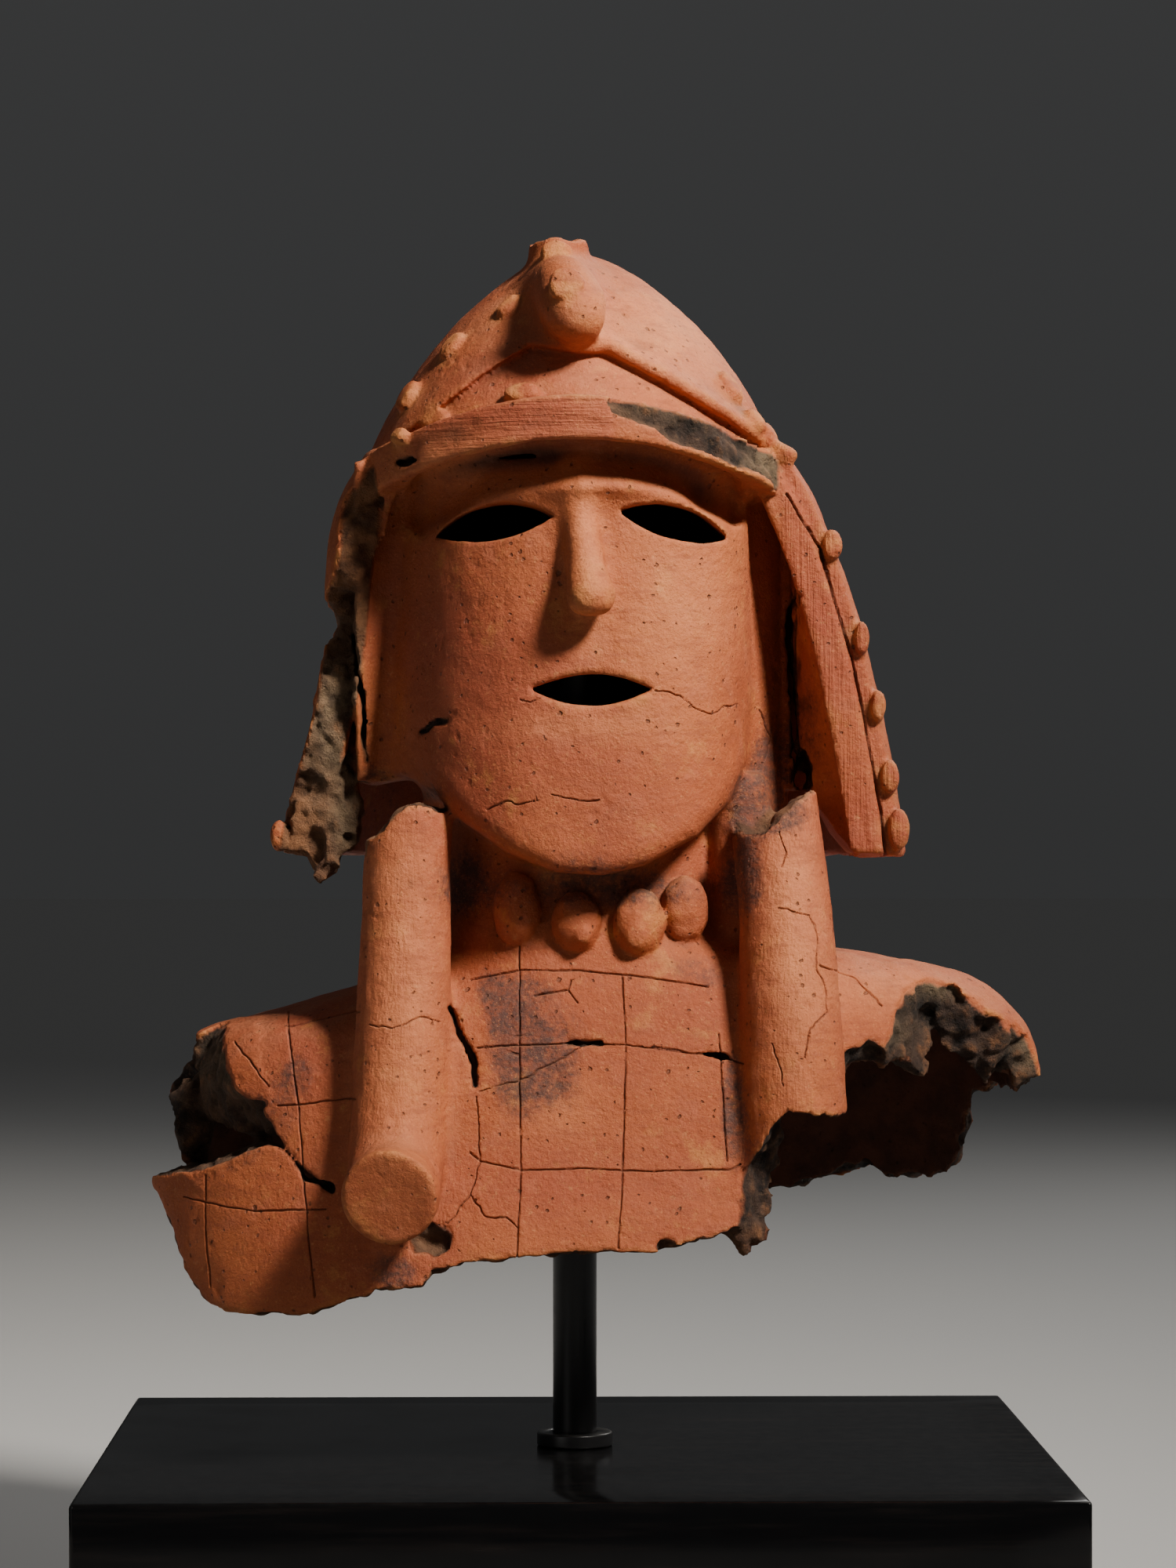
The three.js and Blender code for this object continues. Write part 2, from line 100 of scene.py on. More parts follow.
room = bpy.data.worlds.new("pale_room")
bpy.context.scene.world = room
room.use_nodes = True
sky = room.node_tree
way = sky.nodes.new("ShaderNodeTexCoord").outputs["Generated"]
height = sky.nodes.new("ShaderNodeSeparateXYZ")
sky.links.new(way, height.inputs[0])
rise = sky.nodes.new("ShaderNodeMapRange")
for socket, value in (("From Min", 0.0), ("From Max", 0.8), ("To Min", 0.037), ("To Max", 0.075)):
    rise.inputs[socket].default_value = value
sky.links.new(height.outputs["Z"], rise.inputs["Value"])
sky.links.new(rise.outputs["Result"], sky.nodes["Background"].inputs["Strength"])
sky.nodes["Background"].inputs["Color"].default_value = (0.98, 0.99, 1.0, 1)

# %% Floor
floor_mesh = bpy.data.meshes.new("pale_floor")
reach = 14.0
corners = [(-reach, -reach, 0), (reach, -reach, 0), (reach, reach, 0), (-reach, reach, 0)]
floor_mesh.from_pydata(corners, [], [(0, 1, 2, 3)])
floor = bpy.data.objects.new("pale_floor", floor_mesh)
bpy.context.scene.collection.objects.link(floor)
floor_finish = bpy.data.materials.new("pale_floor_paint")
floor_finish.use_nodes = True
floor_shader = floor_finish.node_tree.nodes["Principled BSDF"]
floor_shader.inputs["Base Color"].default_value = (0.50, 0.495, 0.485, 1)
floor_shader.inputs["Roughness"].default_value = 0.8
floor_mesh.materials.append(floor_finish)

# %% [markdown]
# ## A block of clay cells
# The cells are a millimetre wide. Each number is a distance: below zero inside the clay, above
# zero outside. The smaller of two distances joins two lumps, the larger one cuts, and a rounded
# version of the same rule leaves the fillet that a thumb leaves in wet clay.

# %% The empty block
CELL = 1.0
LOW = np.array([-138.0, -106.0, 100.0])
HIGH = np.array([154.0, 100.0, 440.0])
SHAPE = tuple(int(n) for n in np.ceil((HIGH - LOW) / CELL))
FAR = 30.0
clay = np.full(SHAPE, FAR, np.float32)


def cm3(field):
    """How much clay a block holds, in cubic centimetres."""
    return int((field < 0).sum() * CELL**3 / 1000)


print("cells:", SHAPE, "=", clay.size)


# %% Working in one corner of the block
def corner_of_block(low, high):
    first = np.maximum(np.floor((np.array(low) - LOW) / CELL).astype(int), 0)
    last = np.minimum(np.ceil((np.array(high) - LOW) / CELL).astype(int) + 1, SHAPE)
    x, y, z = (
        (LOW[i] + CELL * np.arange(first[i], last[i])).astype(np.float32) for i in range(3)
    )
    where = tuple(slice(a, b) for a, b in zip(first, last))
    return where, x[:, None, None], y[None, :, None], z[None, None, :]


def soft_join(a, b, soft):
    if soft <= 0:
        return np.minimum(a, b)
    near = np.maximum(soft - np.abs(a - b), 0) / soft
    return np.minimum(a, b) - near * near * soft * 0.25


def soft_keep(a, b, soft=0):
    return -soft_join(-a, -b, soft)


def press_on(fields, low, high, shape, soft=0.0):
    where, x, y, z = corner_of_block(low, high)
    lump = shape(x, y, z).astype(np.float32)
    for field in fields:
        field[where] = soft_join(field[where], lump, soft)


def cut_away(fields, low, high, shape, soft=0.0):
    where, x, y, z = corner_of_block(low, high)
    knife = shape(x, y, z).astype(np.float32)
    for field in fields:
        field[where] = soft_keep(field[where], -knife, soft)


# %% Distances and curves
def between(low, high, value):
    t = np.clip((value - low) / (high - low), 0, 1)
    return t * t * (3 - 2 * t)


def true_distance(value):
    """Turns any smooth value that is zero on the surface into millimetres near it."""
    slope = np.zeros_like(value)
    for axis in range(3):
        if value.shape[axis] > 1:
            slope += np.gradient(value, CELL, axis=axis) ** 2
    return value / np.maximum(np.sqrt(slope), 1e-4)


def tube(x, y, z, left, right, front, back, power=2.0, middle=0.0):
    """An upright tube whose four quarters have their own half-widths and half-depths."""
    across = np.abs(x) / np.where(x > 0, right, left)
    deep = np.abs(y - middle) / np.where(y > middle, back, front)
    value = (across**power + deep**power) ** (1 / power) - 1
    return true_distance(value.astype(np.float32))


def through(stations, column):
    """A smooth curve through one column of the stations, with no overshoot between them."""
    heights = np.array([s[0] for s in stations], float)
    values = np.array([s[column] for s in stations], float)
    slope = np.diff(values) / np.diff(heights)
    tangent = np.concatenate([slope[:1], np.zeros(len(slope) - 1), slope[-1:]])
    for i in range(1, len(slope)):
        if slope[i - 1] * slope[i] > 0:
            tangent[i] = 2 * slope[i - 1] * slope[i] / (slope[i - 1] + slope[i])

    def at(z):
        i = np.clip(np.searchsorted(heights, z, side="right") - 1, 0, len(slope) - 1)
        span = heights[i + 1] - heights[i]
        t = np.clip((z - heights[i]) / span, 0, 1)
        rise = values[i + 1] - values[i]
        ease = t * t * (3 - 2 * t)
        bend = t * (1 - t) ** 2 * tangent[i] + t * t * (t - 1) * tangent[i + 1]
        return values[i] + rise * ease + span * bend

    return at


def line_distance(points, a, b):
    """Distance from (a, b) to a bent line drawn in a flat view."""
    best = None
    for (p, q), (r, s) in zip(points[:-1], points[1:]):
        length = (r - p) ** 2 + (s - q) ** 2
        t = np.clip(((a - p) * (r - p) + (b - q) * (s - q)) / length, 0, 1)
        d = np.hypot(a - p - t * (r - p), b - q - t * (s - q))
        best = d if best is None else np.minimum(best, d)
    return best


def outline_distance(points, a, b):
    """Signed distance from (a, b) to a closed outline: below zero inside it."""
    closed = points + points[:1]
    inside = np.zeros(np.broadcast(a, b).shape, bool)
    for (p, q), (r, s) in zip(closed[:-1], closed[1:]):
        if q != s:
            crosses = ((q > b) != (s > b)) & (a < (r - p) * (b - q) / (s - q) + p)
            inside ^= crosses
    distance = line_distance(closed, a, b)
    return np.where(inside, -distance, distance)


def lumps(x, y, z, size, seed):
    """Smooth random lumps between -1 and 1, about `size` millimetres across."""
    table = np.random.default_rng(seed).uniform(-1, 1, 4096).astype(np.float32)

    x, y, z = 0.80 * x + 0.48 * y + 0.36 * z, -0.60 * x + 0.64 * y + 0.48 * z, 0.80 * z - 0.60 * y

    def cells(v):
        low = np.floor(v / size)
        part = (v / size - low).astype(np.float32)
        return low.astype(np.int64), part * part * (3 - 2 * part)

    (i, u), (j, v), (k, w) = cells(x), cells(y), cells(z)
    total = 0.0
    for a in (0, 1):
        for b in (0, 1):
            for c in (0, 1):
                mix = ((i + a) * 73856093) ^ ((j + b) * 19349663) ^ ((k + c) * 83492791)
                share = (u if a else 1 - u) * (v if b else 1 - v) * (w if c else 1 - w)
                total = total + table[mix & 4095] * share
    return total


# %% [markdown]
# ## Body, head and helmet
# The body is a flattened tube that closes in to the shoulders and the neck. The head is a second,
# rounder tube with the face bulging in front, cut to a long outline with a narrowing chin. The
# helmet is a pointed dome. The half-widths repeat the construction's, so the clay fills its solid.

# %% Body tube: height, left, right, front, back
BODY = [
    (96, 127, 146, 82, 70), (126, 131, 147, 76, 70), (150, 131, 147, 69, 70),
    (175, 127, 145, 63, 69), (188, 117, 141, 59.5, 67), (197, 88, 134, 57, 65),
    (206, 60, 121, 54, 61), (213, 53, 88, 51.5, 57), (219, 50, 56, 50, 54),
    (228, 48, 50, 48, 52), (256, 47, 48, 46, 50), (290, 46, 47, 45, 48),
]
body_half = [through(BODY, column) for column in (1, 2, 3, 4)]


def body_tube(x, y, z):
    return tube(x, y, z, *(half(z) for half in body_half), power=2.15)


def neck_and_body(x, y, z):
    return np.maximum(body_tube(x, y, z), z - 288)


press_on([clay], (-138, -90, 100), (154, 78, 290), neck_and_body)
print("body pressed:", cm3(clay), "cm3 of clay")

# %% Head tube and face
CHIN_Z, BRIM_Z = 237.5, 372.0
FACE_OUTLINE = [
    (-58, 370), (-58, 292), (-55, 277), (-47, 266.5), (-34, 253.3), (-20.5, 244), (-7, 238.5),
    (7, 237.5), (20, 240.7), (35.5, 249), (46, 259.5), (54, 272), (58, 292), (58, 370),
]


def head_tube(x, y, z):
    walls = tube(x, y, z, 63, 66.5, np.where(x > 0, 42, 54), 62) + 0 * z
    floor_z = 262 + 5 * between(-42, -52, x) - 8 * between(36, 46, x)
    return soft_keep(walls, np.maximum(floor_z - z, z - 366) + 0 * x * y, 4)


def face(x, y, z):
    lean = 2.5 * np.cos(math.pi * (z - CHIN_Z) / (BRIM_Z - CHIN_Z))
    bulge = tube(x, y, z, 56.5, 54.5, 68.5 + lean, 60, power=np.where(x > 0, 2.9, 2.25))
    outline = outline_distance(FACE_OUTLINE, x[:, 0, :], z[:, 0, :])[:, None, :]
    return soft_keep(bulge, np.maximum(outline, y - 20), 6)


press_on([clay], (-76, -70, 244), (80, 76, 380), head_tube, 5)
press_on([clay], (-70, -84, 226), (70, 24, 376), face, 3)
print("with head and face:", cm3(clay), "cm3 of clay")

# %% Helmet dome
DOME_RIM_Z, CROWN_Z, RELIEF = 362.0, 426.8, 3.2
SIDE, FRONT, BACK = 62.0, 72.0, 74.0


def dome_skin(x, y, z, grow):
    rise = np.clip((z - DOME_RIM_Z) / (CROWN_Z + grow - DOME_RIM_Z), 0, None)
    deep = np.where(y < 0, y / (FRONT + grow), y / (BACK + grow))
    value = (np.hypot(x / (SIDE + grow), deep) ** (1 / 0.6) + rise**1.25 - 1).astype(np.float32)
    return true_distance(value)


def dome(x, y, z):
    return soft_keep(dome_skin(x, y, z, 0), 352 - z + 0 * x * y, 2)


press_on([clay], (-82, -92, 344), (82, 94, 438), dome, 4)
print("with the helmet's dome:", cm3(clay), "cm3 of clay")

# %% [markdown]
# ## Hollowing out
# A haniwa is hollow from the start, because solid clay this thick would burst in the fire. The
# same distance numbers that shape the outside give an even wall: everything deeper than the
# wall's thickness is air.

# %% One even wall
WALL = 9.5
solid = clay.copy()
clay = np.maximum(clay, -(clay + WALL))
print("wall left:", cm3(clay), "cm3 of clay")

# %% [markdown]
# ## Thick parts that stand proud
# The upper helmet plate overlaps the lower one in a chevron, a brim runs round the brow, and the
# neck guard hangs from the helmet as a flaring skirt. Each is its own slab of clay, so each gets
# its own distance and is joined with a tight, hand-pressed seam.

# %% Upper plate with its rolled rib
CHEVRON = [
    (-90, 340), (-58, 366), (-45, 375), (-29, 387), (-14, 396), (8, 394), (26, 384.5), (45, 374),
    (58, 366), (90, 340),
]


def upper_plate(x, y, z):
    flat_x, flat_z = x[:, 0, :], z[:, 0, :]
    outline = CHEVRON + [(90, 480), (-90, 480)]
    edge = outline_distance(outline, flat_x, flat_z)[:, None, :]
    rib = np.exp(-(((edge + 3.4) / 2.5) ** 2)) * np.clip((flat_x[:, None, :] - 2) / 8, 0, 1)
    skin = dome_skin(x, y, z, RELIEF) - 2.3 * rib * (y < 0)
    return soft_keep(soft_keep(skin, edge + 0 * y, 1.8), -(skin + 9), 0)


press_on([clay], (-82, -92, 336), (82, 94, 440), upper_plate, 1.2)
print("with the upper plate:", cm3(clay), "cm3 of clay")


# %% Brim
def brim(x, y, z):
    ring = np.hypot(x / 65.5, y / 76.5)
    out = true_distance((ring - 1).astype(np.float32) + 0 * z)
    drop = 17 * (x / 65.5 / np.maximum(ring, 0.1)) ** 2
    up = z - (BRIM_Z - drop)
    middle, half_deep, half_high, round_off = -1.6, 7.6, 6.6, 1.5
    deep = np.abs(out - middle) - half_deep + round_off
    high = np.abs(up) - half_high + round_off
    outside = np.hypot(np.maximum(deep, 0), np.maximum(high, 0))
    box = outside + np.minimum(np.maximum(deep, high), 0) - round_off
    return soft_keep(box, np.maximum(np.abs(x) - 62, y + 26) + 0 * z, 3)


press_on([clay], (-72, -92, 340), (72, -18, 388), brim, 1.5)


def undercut(x, y, z):
    """The forehead falls back below the brim, which leaves the brim's deep shadow."""
    ring = np.hypot(x / 60, y / 71)
    drop = 17 * (x / 60 / np.maximum(ring, 0.1)) ** 2
    size = 5.6 + 1.6 * between(6, -14, x) - 8 * between(46, 56, np.abs(x))
    return np.hypot((ring - 1) * 66, (z - 360.4 + drop) * 0.8) - size


cut_away([clay], (-60, -84, 334), (60, -20, 372), undercut, 3.5)
print("with the brim:", cm3(clay), "cm3 of clay")

# %% Neck guard: height, left, right, back, front
GUARD = [
    (232, 94, 103, 114, 60), (265, 87, 98, 109, 60), (288, 80.5, 93.5, 105, 60),
    (312, 77.5, 88, 101, 60), (336, 76, 80, 97, 58), (350, 73, 74.5, 95, 56),
    (368, 63, 64, 92, 54),
]
GUARD_WALL, GUARD_MIDDLE, GUARD_FRONT = 13.0, -20.0, -38.0
guard_half = [through(GUARD, column) for column in (1, 2, 4, 3)]


def neck_guard(x, y, z):
    skin = tube(x, y, z, *(half(z) for half in guard_half), middle=GUARD_MIDDLE)
    shell = soft_keep(skin, -(skin + GUARD_WALL), 2.5)
    hem = 243 + 1.2 * lumps(x, y, z * 0, 17, 5)
    front_end = GUARD_FRONT - 14 * (x < -60)
    ends = np.maximum(np.maximum(hem - z, z - 367), front_end - y)
    return soft_keep(shell, ends, 2.5)


guard = np.full(SHAPE, FAR, np.float32)
press_on([guard], (-104, -58, 234), (112, 98, 372), neck_guard)


def guard_lip(x, y, z):
    """The outer third of the guard's front edge is set back behind a scored step."""
    skin = tube(x, y, z, *(half(z) for half in guard_half), middle=GUARD_MIDDLE)
    return np.maximum(-(skin + 3.6), y - (GUARD_FRONT + 2.6))


cut_away([guard], (56, -44, 236), (112, -30, 366), guard_lip, 1.0)
print("guard:", cm3(guard), "cm3 of clay")

# %% Clay smeared into the corners between the head and the guard
RIGHT_TEMPLE = [
    (56, 346), (56, 268), (67, 263), (72, 262), (79, 250), (85, 243), (85, 300), (64, 346),
]
LEFT_TEMPLE = [(-54, 362), (-54, 270), (-62, 266), (-67, 266), (-68, 300), (-67, 362)]


def temple_fill(x, y, z):
    """Clay that was smeared into the corner between the head's side and the guard."""
    inner = np.interp(z, [240, 257, 287, 317, 341, 352], [84, 81.7, 75.5, 68.6, 60, 55])
    slope = np.clip((x - 66) / np.maximum(inner - 66, 4), 0, 1)
    front = y - (-13 - 21 * slope)
    outline = outline_distance(RIGHT_TEMPLE, x[:, 0, :], z[:, 0, :])[:, None, :]
    return soft_keep(np.maximum(-front, y + 4), outline, 2)


def left_temple_fill(x, y, z):
    outline = outline_distance(LEFT_TEMPLE, x[:, 0, :], z[:, 0, :])[:, None, :]
    front = -(26.5 + 0.16 * (z - 300) + 0.75 * (-62 - x))
    return soft_keep(np.maximum(front - y, y - 2), outline + 0 * y, 3)


press_on([guard], (52, -44, 238), (90, 0, 350), temple_fill, 3)
press_on([clay], (-80, -56, 256), (-46, 6, 366), left_temple_fill, 7)
unbroken = np.minimum(clay, guard)
print("unbroken figure:", cm3(unbroken), "cm3 of clay")

# %% [markdown]
# ## Breaks
# The arms, the lower body, the left side of the guard and a strip of the brim are lost. Each break
# is an outline in the front or the side view. The knife is roughened with lumps of three sizes,
# because coarse clay tears round its grit. The unbroken shape is kept beside the broken one: the
# depth below the old skin tells the material later where the bare core shows.

# %% Broken guard
GUARD_LEFT_BREAK = [
    (-110, 380), (-37, 380), (-37, 366), (-33, 352), (-36, 340), (-33, 331), (-26, 326),
    (-18, 321), (-11, 314), (-10, 305), (-17, 302),
    (-21, 294), (-22, 280), (-20, 270), (-15, 262), (-12, 252), (-8, 244), (-10, 230), (-110, 230),
]


def torn(x, y, z, seed, amount=1.0):
    rough = 1.5 * lumps(x, y, z, 9, seed) + 1.5 * np.abs(lumps(x, y, z, 5, seed + 1)) - 0.4
    return amount * (rough + 0.7 * np.abs(lumps(x, y, z, 2.5, seed + 2)))


def left_guard_break(x, y, z):
    outline = outline_distance(GUARD_LEFT_BREAK, y[0, :, :], z[0, :, :])[None, :, :]
    return outline + torn(x, y, z, 11, 1.7) + 1.8 * lumps(x, y, z, 15, 19)


def left_guard_bite(x, y, z):
    side = np.hypot((x + 84) / 11, (z - 315) / 9) - 1
    return 9 * side + torn(x, y, z, 14, 0.8)


cut_away([guard], (-104, -62, 232), (-59, 14, 374), left_guard_break, 0.4)
cut_away([guard], (-100, -50, 300), (-64, 60, 330), left_guard_bite, 0.4)
print("guard after its break:", cm3(guard), "cm3 of clay")

# %% Broken shoulders and hem, front half and back half
FRONT_LEFT = [
    (-108, 250), (-107.5, 192), (-107, 186), (-103.5, 174.5), (-98, 171), (-91, 169), (-94, 167),
    (-90, 160), (-83.5, 151.5), (-78, 147), (-72, 145.5), (-72.5, 143), (-81, 147), (-86, 153.5),
    (-90, 156.5), (-96, 156), (-110, 149.5), (-115, 148), (-123, 146.5), (-131, 143.5),
]
FRONT_HEM = [
    (-127, 138), (-116, 114), (-111, 109.5), (-103, 106.5), (-79, 108), (-60, 115.5), (-46, 116),
    (-43, 121), (-32, 124), (-2, 126.5), (21, 127), (43, 132),
]
FRONT_RIGHT = [
    (47, 134), (48, 152), (55, 166), (68, 178), (81, 185.5), (87, 188), (92, 186), (98, 202),
    (106, 205), (117, 202.5), (126, 195), (139, 187), (160, 186), (160, 300), (-108, 300),
]
BACK_OUTLINE = [
    (-116, 300), (-117, 189), (-118, 181), (-127, 169), (-123, 158), (-121.5, 150), (-113, 141),
    (-92, 136), (-60, 135), (-22, 141), (14, 137), (42, 139), (64, 136), (88, 139), (95, 143),
    (110, 139), (121.5, 145), (127.5, 158), (127, 168), (137, 171), (146, 176), (160, 180),
    (160, 300),
]


BODY_CORNERS = (-138, -90, 100), (154, 78, 222)
ROOT_WALL = 17.0


def lost_body(x, y, z):
    flat_x, flat_z = x[:, 0, :], z[:, 0, :]
    front = outline_distance(FRONT_LEFT + FRONT_HEM + FRONT_RIGHT, flat_x, flat_z)[:, None, :]
    back = outline_distance(BACK_OUTLINE, flat_x, flat_z)[:, None, :]
    deep = np.clip(-solid[corner_of_block(*BODY_CORNERS)[0]], 0, 16)
    slant = 0.05 + 1.0 * between(42, 50, x) + 1.2 * between(-82, -92, x) * between(157, 165, z)
    front = front - slant * deep
    parting = y + 4 + 7 * lumps(x, y, z, 16, 27) + 3 * lumps(x, y, z, 7, 28)
    kept_front = np.maximum(front, parting - 4)
    kept_back = np.maximum(back, -4 - parting)
    kept = np.minimum(kept_front, kept_back)
    thick = between(44, 60, x) + between(-84, -94, x) * between(152, 162, z)
    grain = 0.6 * lumps(x, y, z, 7, 21) + 0.5 * lumps(x, y, z, 3.2, 22)
    ledges = 3.4 * lumps(x, y, z, 12, 23) + 3.6 * np.abs(lumps(x, y, z, 6.5, 24)) - 1
    ledges = ledges + 1.6 * np.abs(lumps(x, y, z, 3.4, 26))
    grain = grain * (1 + 0.6 * thick) + thick * ledges * np.clip(deep / 4, 0, 1)
    return -(kept + grain)


def arm_root(x, y, z):
    """Where the arms sprang from the shoulders the wall is twice as thick on its inside."""
    right = np.sqrt(((x - 122) / 30) ** 2 + ((y + 24) / 40) ** 2 + ((z - 196) / 24) ** 2)
    left = np.sqrt(((x + 108) / 18) ** 2 + ((y + 22) / 36) ** 2 + ((z - 168) / 30) ** 2)
    return 18 * (np.minimum(right, left) - 1) + 2.4 * lumps(x, y, z, 9, 25)


where, x, y, z = corner_of_block(*BODY_CORNERS)
thick_wall = np.maximum(solid[where], -(solid[where] + ROOT_WALL))
root = np.maximum(thick_wall, arm_root(x, y, z))
clay[where] = soft_join(clay[where], root.astype(np.float32), 2)
unbroken[where] = np.minimum(unbroken[where], root)
cut_away([clay], *BODY_CORNERS, lost_body, 0.5)
print("clay after the body's breaks:", cm3(clay), "cm3")


# %% Broken strip of the brim and a few chips
def brim_break(x, y, z):
    ring = np.hypot(x / 65.5, y / 76.5)
    out = (ring - 1) * 70
    side = 9 - x + 2.5 * lumps(x, y, z, 6, 31)
    up = z - (BRIM_Z - 17 * (x / 65.5) ** 2)
    face_gone = 2.6 - 0.25 * up - 0.03 * (x - 10) - out + torn(x, y, z, 32, 1.5)
    lip = 2.0 - 5.0 * between(8, 34, x) + 2.2 * lumps(x, y, z, 9, 35) - up
    return np.maximum(np.maximum(side, face_gone), lip)


cut_away([clay], (4, -92, 344), (72, -24, 388), brim_break, 0.4)
clay = np.minimum(clay, guard)
del guard
print("with the broken guard:", cm3(clay), "cm3 of clay")


# %% The crumbled lower corner of the guard
CORNER = [
    (-88.5, 244), (-86.5, 252), (-84.5, 261), (-79.5, 267.5), (-78, 290), (-71, 300), (-68, 286),
    (-66.5, 268), (-65, 257), (-65, 245.5), (-72, 244.5), (-74.5, 238.5), (-78.5, 236.5),
    (-82.5, 240.5),
]


def crumbled(grow):
    def shape(x, y, z):
        outline = outline_distance(CORNER, x[:, 0, :], z[:, 0, :])[:, None, :]
        slab = np.abs(y + 14 - 0.1 * (z - 250)) - 7.5 + 0.3 * np.abs(x + 76)
        ragged = torn(x, y, z, 47, 1.5) + 1.5 * lumps(x, y, z, 12, 48)
        chunk = soft_keep(outline, slab, 3) - grow
        if grow:
            return np.maximum(chunk, np.minimum(y + 15, z - 262))
        return chunk + ragged

    return shape


press_on([clay], (-100, -30, 230), (-54, 6, 306), crumbled(0), 1.5)
press_on([unbroken], (-100, -34, 226), (-54, 10, 310), crumbled(4), 1.5)
print("with the crumbled corner:", cm3(clay), "cm3 of clay")


# %% Chips and small holes
def chip(place, radii, seed, rough=0.25):
    def shape(x, y, z):
        ball = np.sqrt(
            ((x - place[0]) / radii[0]) ** 2
            + ((y - place[1]) / radii[1]) ** 2
            + ((z - place[2]) / radii[2]) ** 2
        )
        return min(radii) * (ball - 1 + rough * lumps(x, y, z, 3.5, seed))

    low = [p - r - 3 for p, r in zip(place, radii)]
    high = [p + r + 3 for p, r in zip(place, radii)]
    cut_away([clay], low, high, shape, 0.5)


chip((-51.5, -57, 361), (4.4, 6, 1.3), 41)
chip((25.5, -78, 128.5), (3.6, 8, 2.2), 42)
chip((70, -16, 266), (3.0, 14, 9), 44)
chip((-44, -73, 131), (6.5, 6, 5.2), 45)
print("clay after the breaks:", cm3(clay), "cm3")

# %% [markdown]
# ## Pressed-on details
# The nose, the keel of the helmet, the rivets, the beads and the two hair rolls were made apart
# and pressed on. A roll of clay is a chain of round lumps along a curve. The left hair roll bends
# forward and ends in a flat disc; the right one is broken off above it.

# %% Rolls of clay
def roll(points, radii, steps=18):
    """A chain of lumps along a smooth curve through the points."""
    pts = np.array(points, float)
    ends = np.vstack([2 * pts[0] - pts[1], pts, 2 * pts[-1] - pts[-2]])
    chain = []
    for s in np.linspace(0, len(pts) - 1, steps + 1):
        i = min(int(s), len(pts) - 2)
        t = s - i
        a, b, c, d = ends[i : i + 4]
        p = 0.5 * (2 * b + (c - a) * t + (2 * a - 5 * b + 4 * c - d) * t**2)
        p = p + 0.5 * (3 * b - a - 3 * c + d) * t**3
        chain.append((p, np.interp(s / (len(pts) - 1), np.linspace(0, 1, len(radii)), radii)))

    def shape(x, y, z):
        best = None
        for (p, r0), (q, r1) in zip(chain[:-1], chain[1:]):
            way = q - p
            t = ((x - p[0]) * way[0] + (y - p[1]) * way[1] + (z - p[2]) * way[2]) / way.dot(way)
            t = np.clip(t, 0, 1)
            gap = np.sqrt(
                (x - p[0] - t * way[0]) ** 2 + (y - p[1] - t * way[1]) ** 2
                + (z - p[2] - t * way[2]) ** 2
            )
            d = gap - (r0 + (r1 - r0) * t)
            best = d if best is None else np.minimum(best, d)
        return best

    return shape


# %% Nose
both = [clay, unbroken]
NOSE = [(-1.2, -63.5, 357), (0.2, -67, 345), (1.8, -71.5, 331), (3.4, -76.2, 320)]


def nose(x, y, z):
    bridge = roll(NOSE, [2.8, 4.2, 5.2, 6.9])(x, y, z)
    return soft_keep(bridge, 313.8 - 0.10 * (y + 80) - z + 0 * x, 3.2)


press_on(both, (-16, -90, 306), (24, -52, 364), nose, 6)
print("nose pressed, its tip is", round(-float(NOSE[-1][1]) + 6.9, 1), "mm in front of the rod")

# %% Brow: two low ridges that run out from the top of the nose
def brow(x, y, z):
    height = 353.5 - 0.0046 * (x - 1) ** 2 + 0 * y
    ridge = np.hypot((y + 64.0 - 0.9 * (x < 0) - 0.0086 * x * x) / 3.4, (z - height) / 3.6) - 1
    return soft_keep(3 * ridge, np.abs(x) - 30 + 0 * y * z, 8)


press_on(both, (-50, -76, 336), (50, -40, 364), brow, 8)

# %% Clay behind the right hair roll, which closes the gap to the neck
web = roll([(50, -27, 262), (50, -29, 222)], [9, 10])
press_on(both, (36, -46, 204), (66, -8, 268), web, 4)
print("with nose, brow and web:", cm3(clay), "cm3 of clay")

# %% The two hair rolls
LEFT_ROLL = [
    (-50.5, -45, 262), (-51.5, -50, 222), (-52.5, -57, 185), (-53.5, -64, 160),
    (-54.5, -77, 147), (-55.2, -100, 144.5),
]
RIGHT_ROLL = [(58.5, -38, 268), (61.5, -48, 236), (63.5, -56, 200), (65, -62, 146)]
left_roll = roll(LEFT_ROLL, [12.6, 13.4, 14.2, 14.3, 14, 14])
right_roll = roll(RIGHT_ROLL, [13.2, 13.6, 14.8, 16])


def left_hair(x, y, z):
    foot = -0.24 * (x + 55) - 0.93 * (y + 97.6) - 0.28 * (z - 144.5)
    return soft_keep(left_roll(x, y, z), foot, 1.8)


# %% Breaks of the hair rolls
LEFT_TOP = [
    (-80, 247), (-66, 247), (-61, 248.5), (-56, 254), (-50, 257.5), (-44, 257), (-36, 254),
    (-30, 256), (-30, 290), (-80, 290),
]
RIGHT_TOP = [
    (40, 249), (50, 250.5), (54, 249), (59, 253), (64, 258), (70, 262), (86, 266), (86, 296),
    (40, 296),
]
RIGHT_FOOT = [
    (36, 148), (50, 152), (54, 157), (57, 164), (62, 168.5), (68, 167.5), (76, 166.5), (92, 168),
    (92, 126), (36, 126),
]


def flat_break(outline, seed, back=0.0):
    def shape(x, y, z):
        flat = outline_distance(outline, x[:, 0, :], z[:, 0, :])[:, None, :]
        return flat + back + torn(x, y, z, seed, 0.8)

    return shape


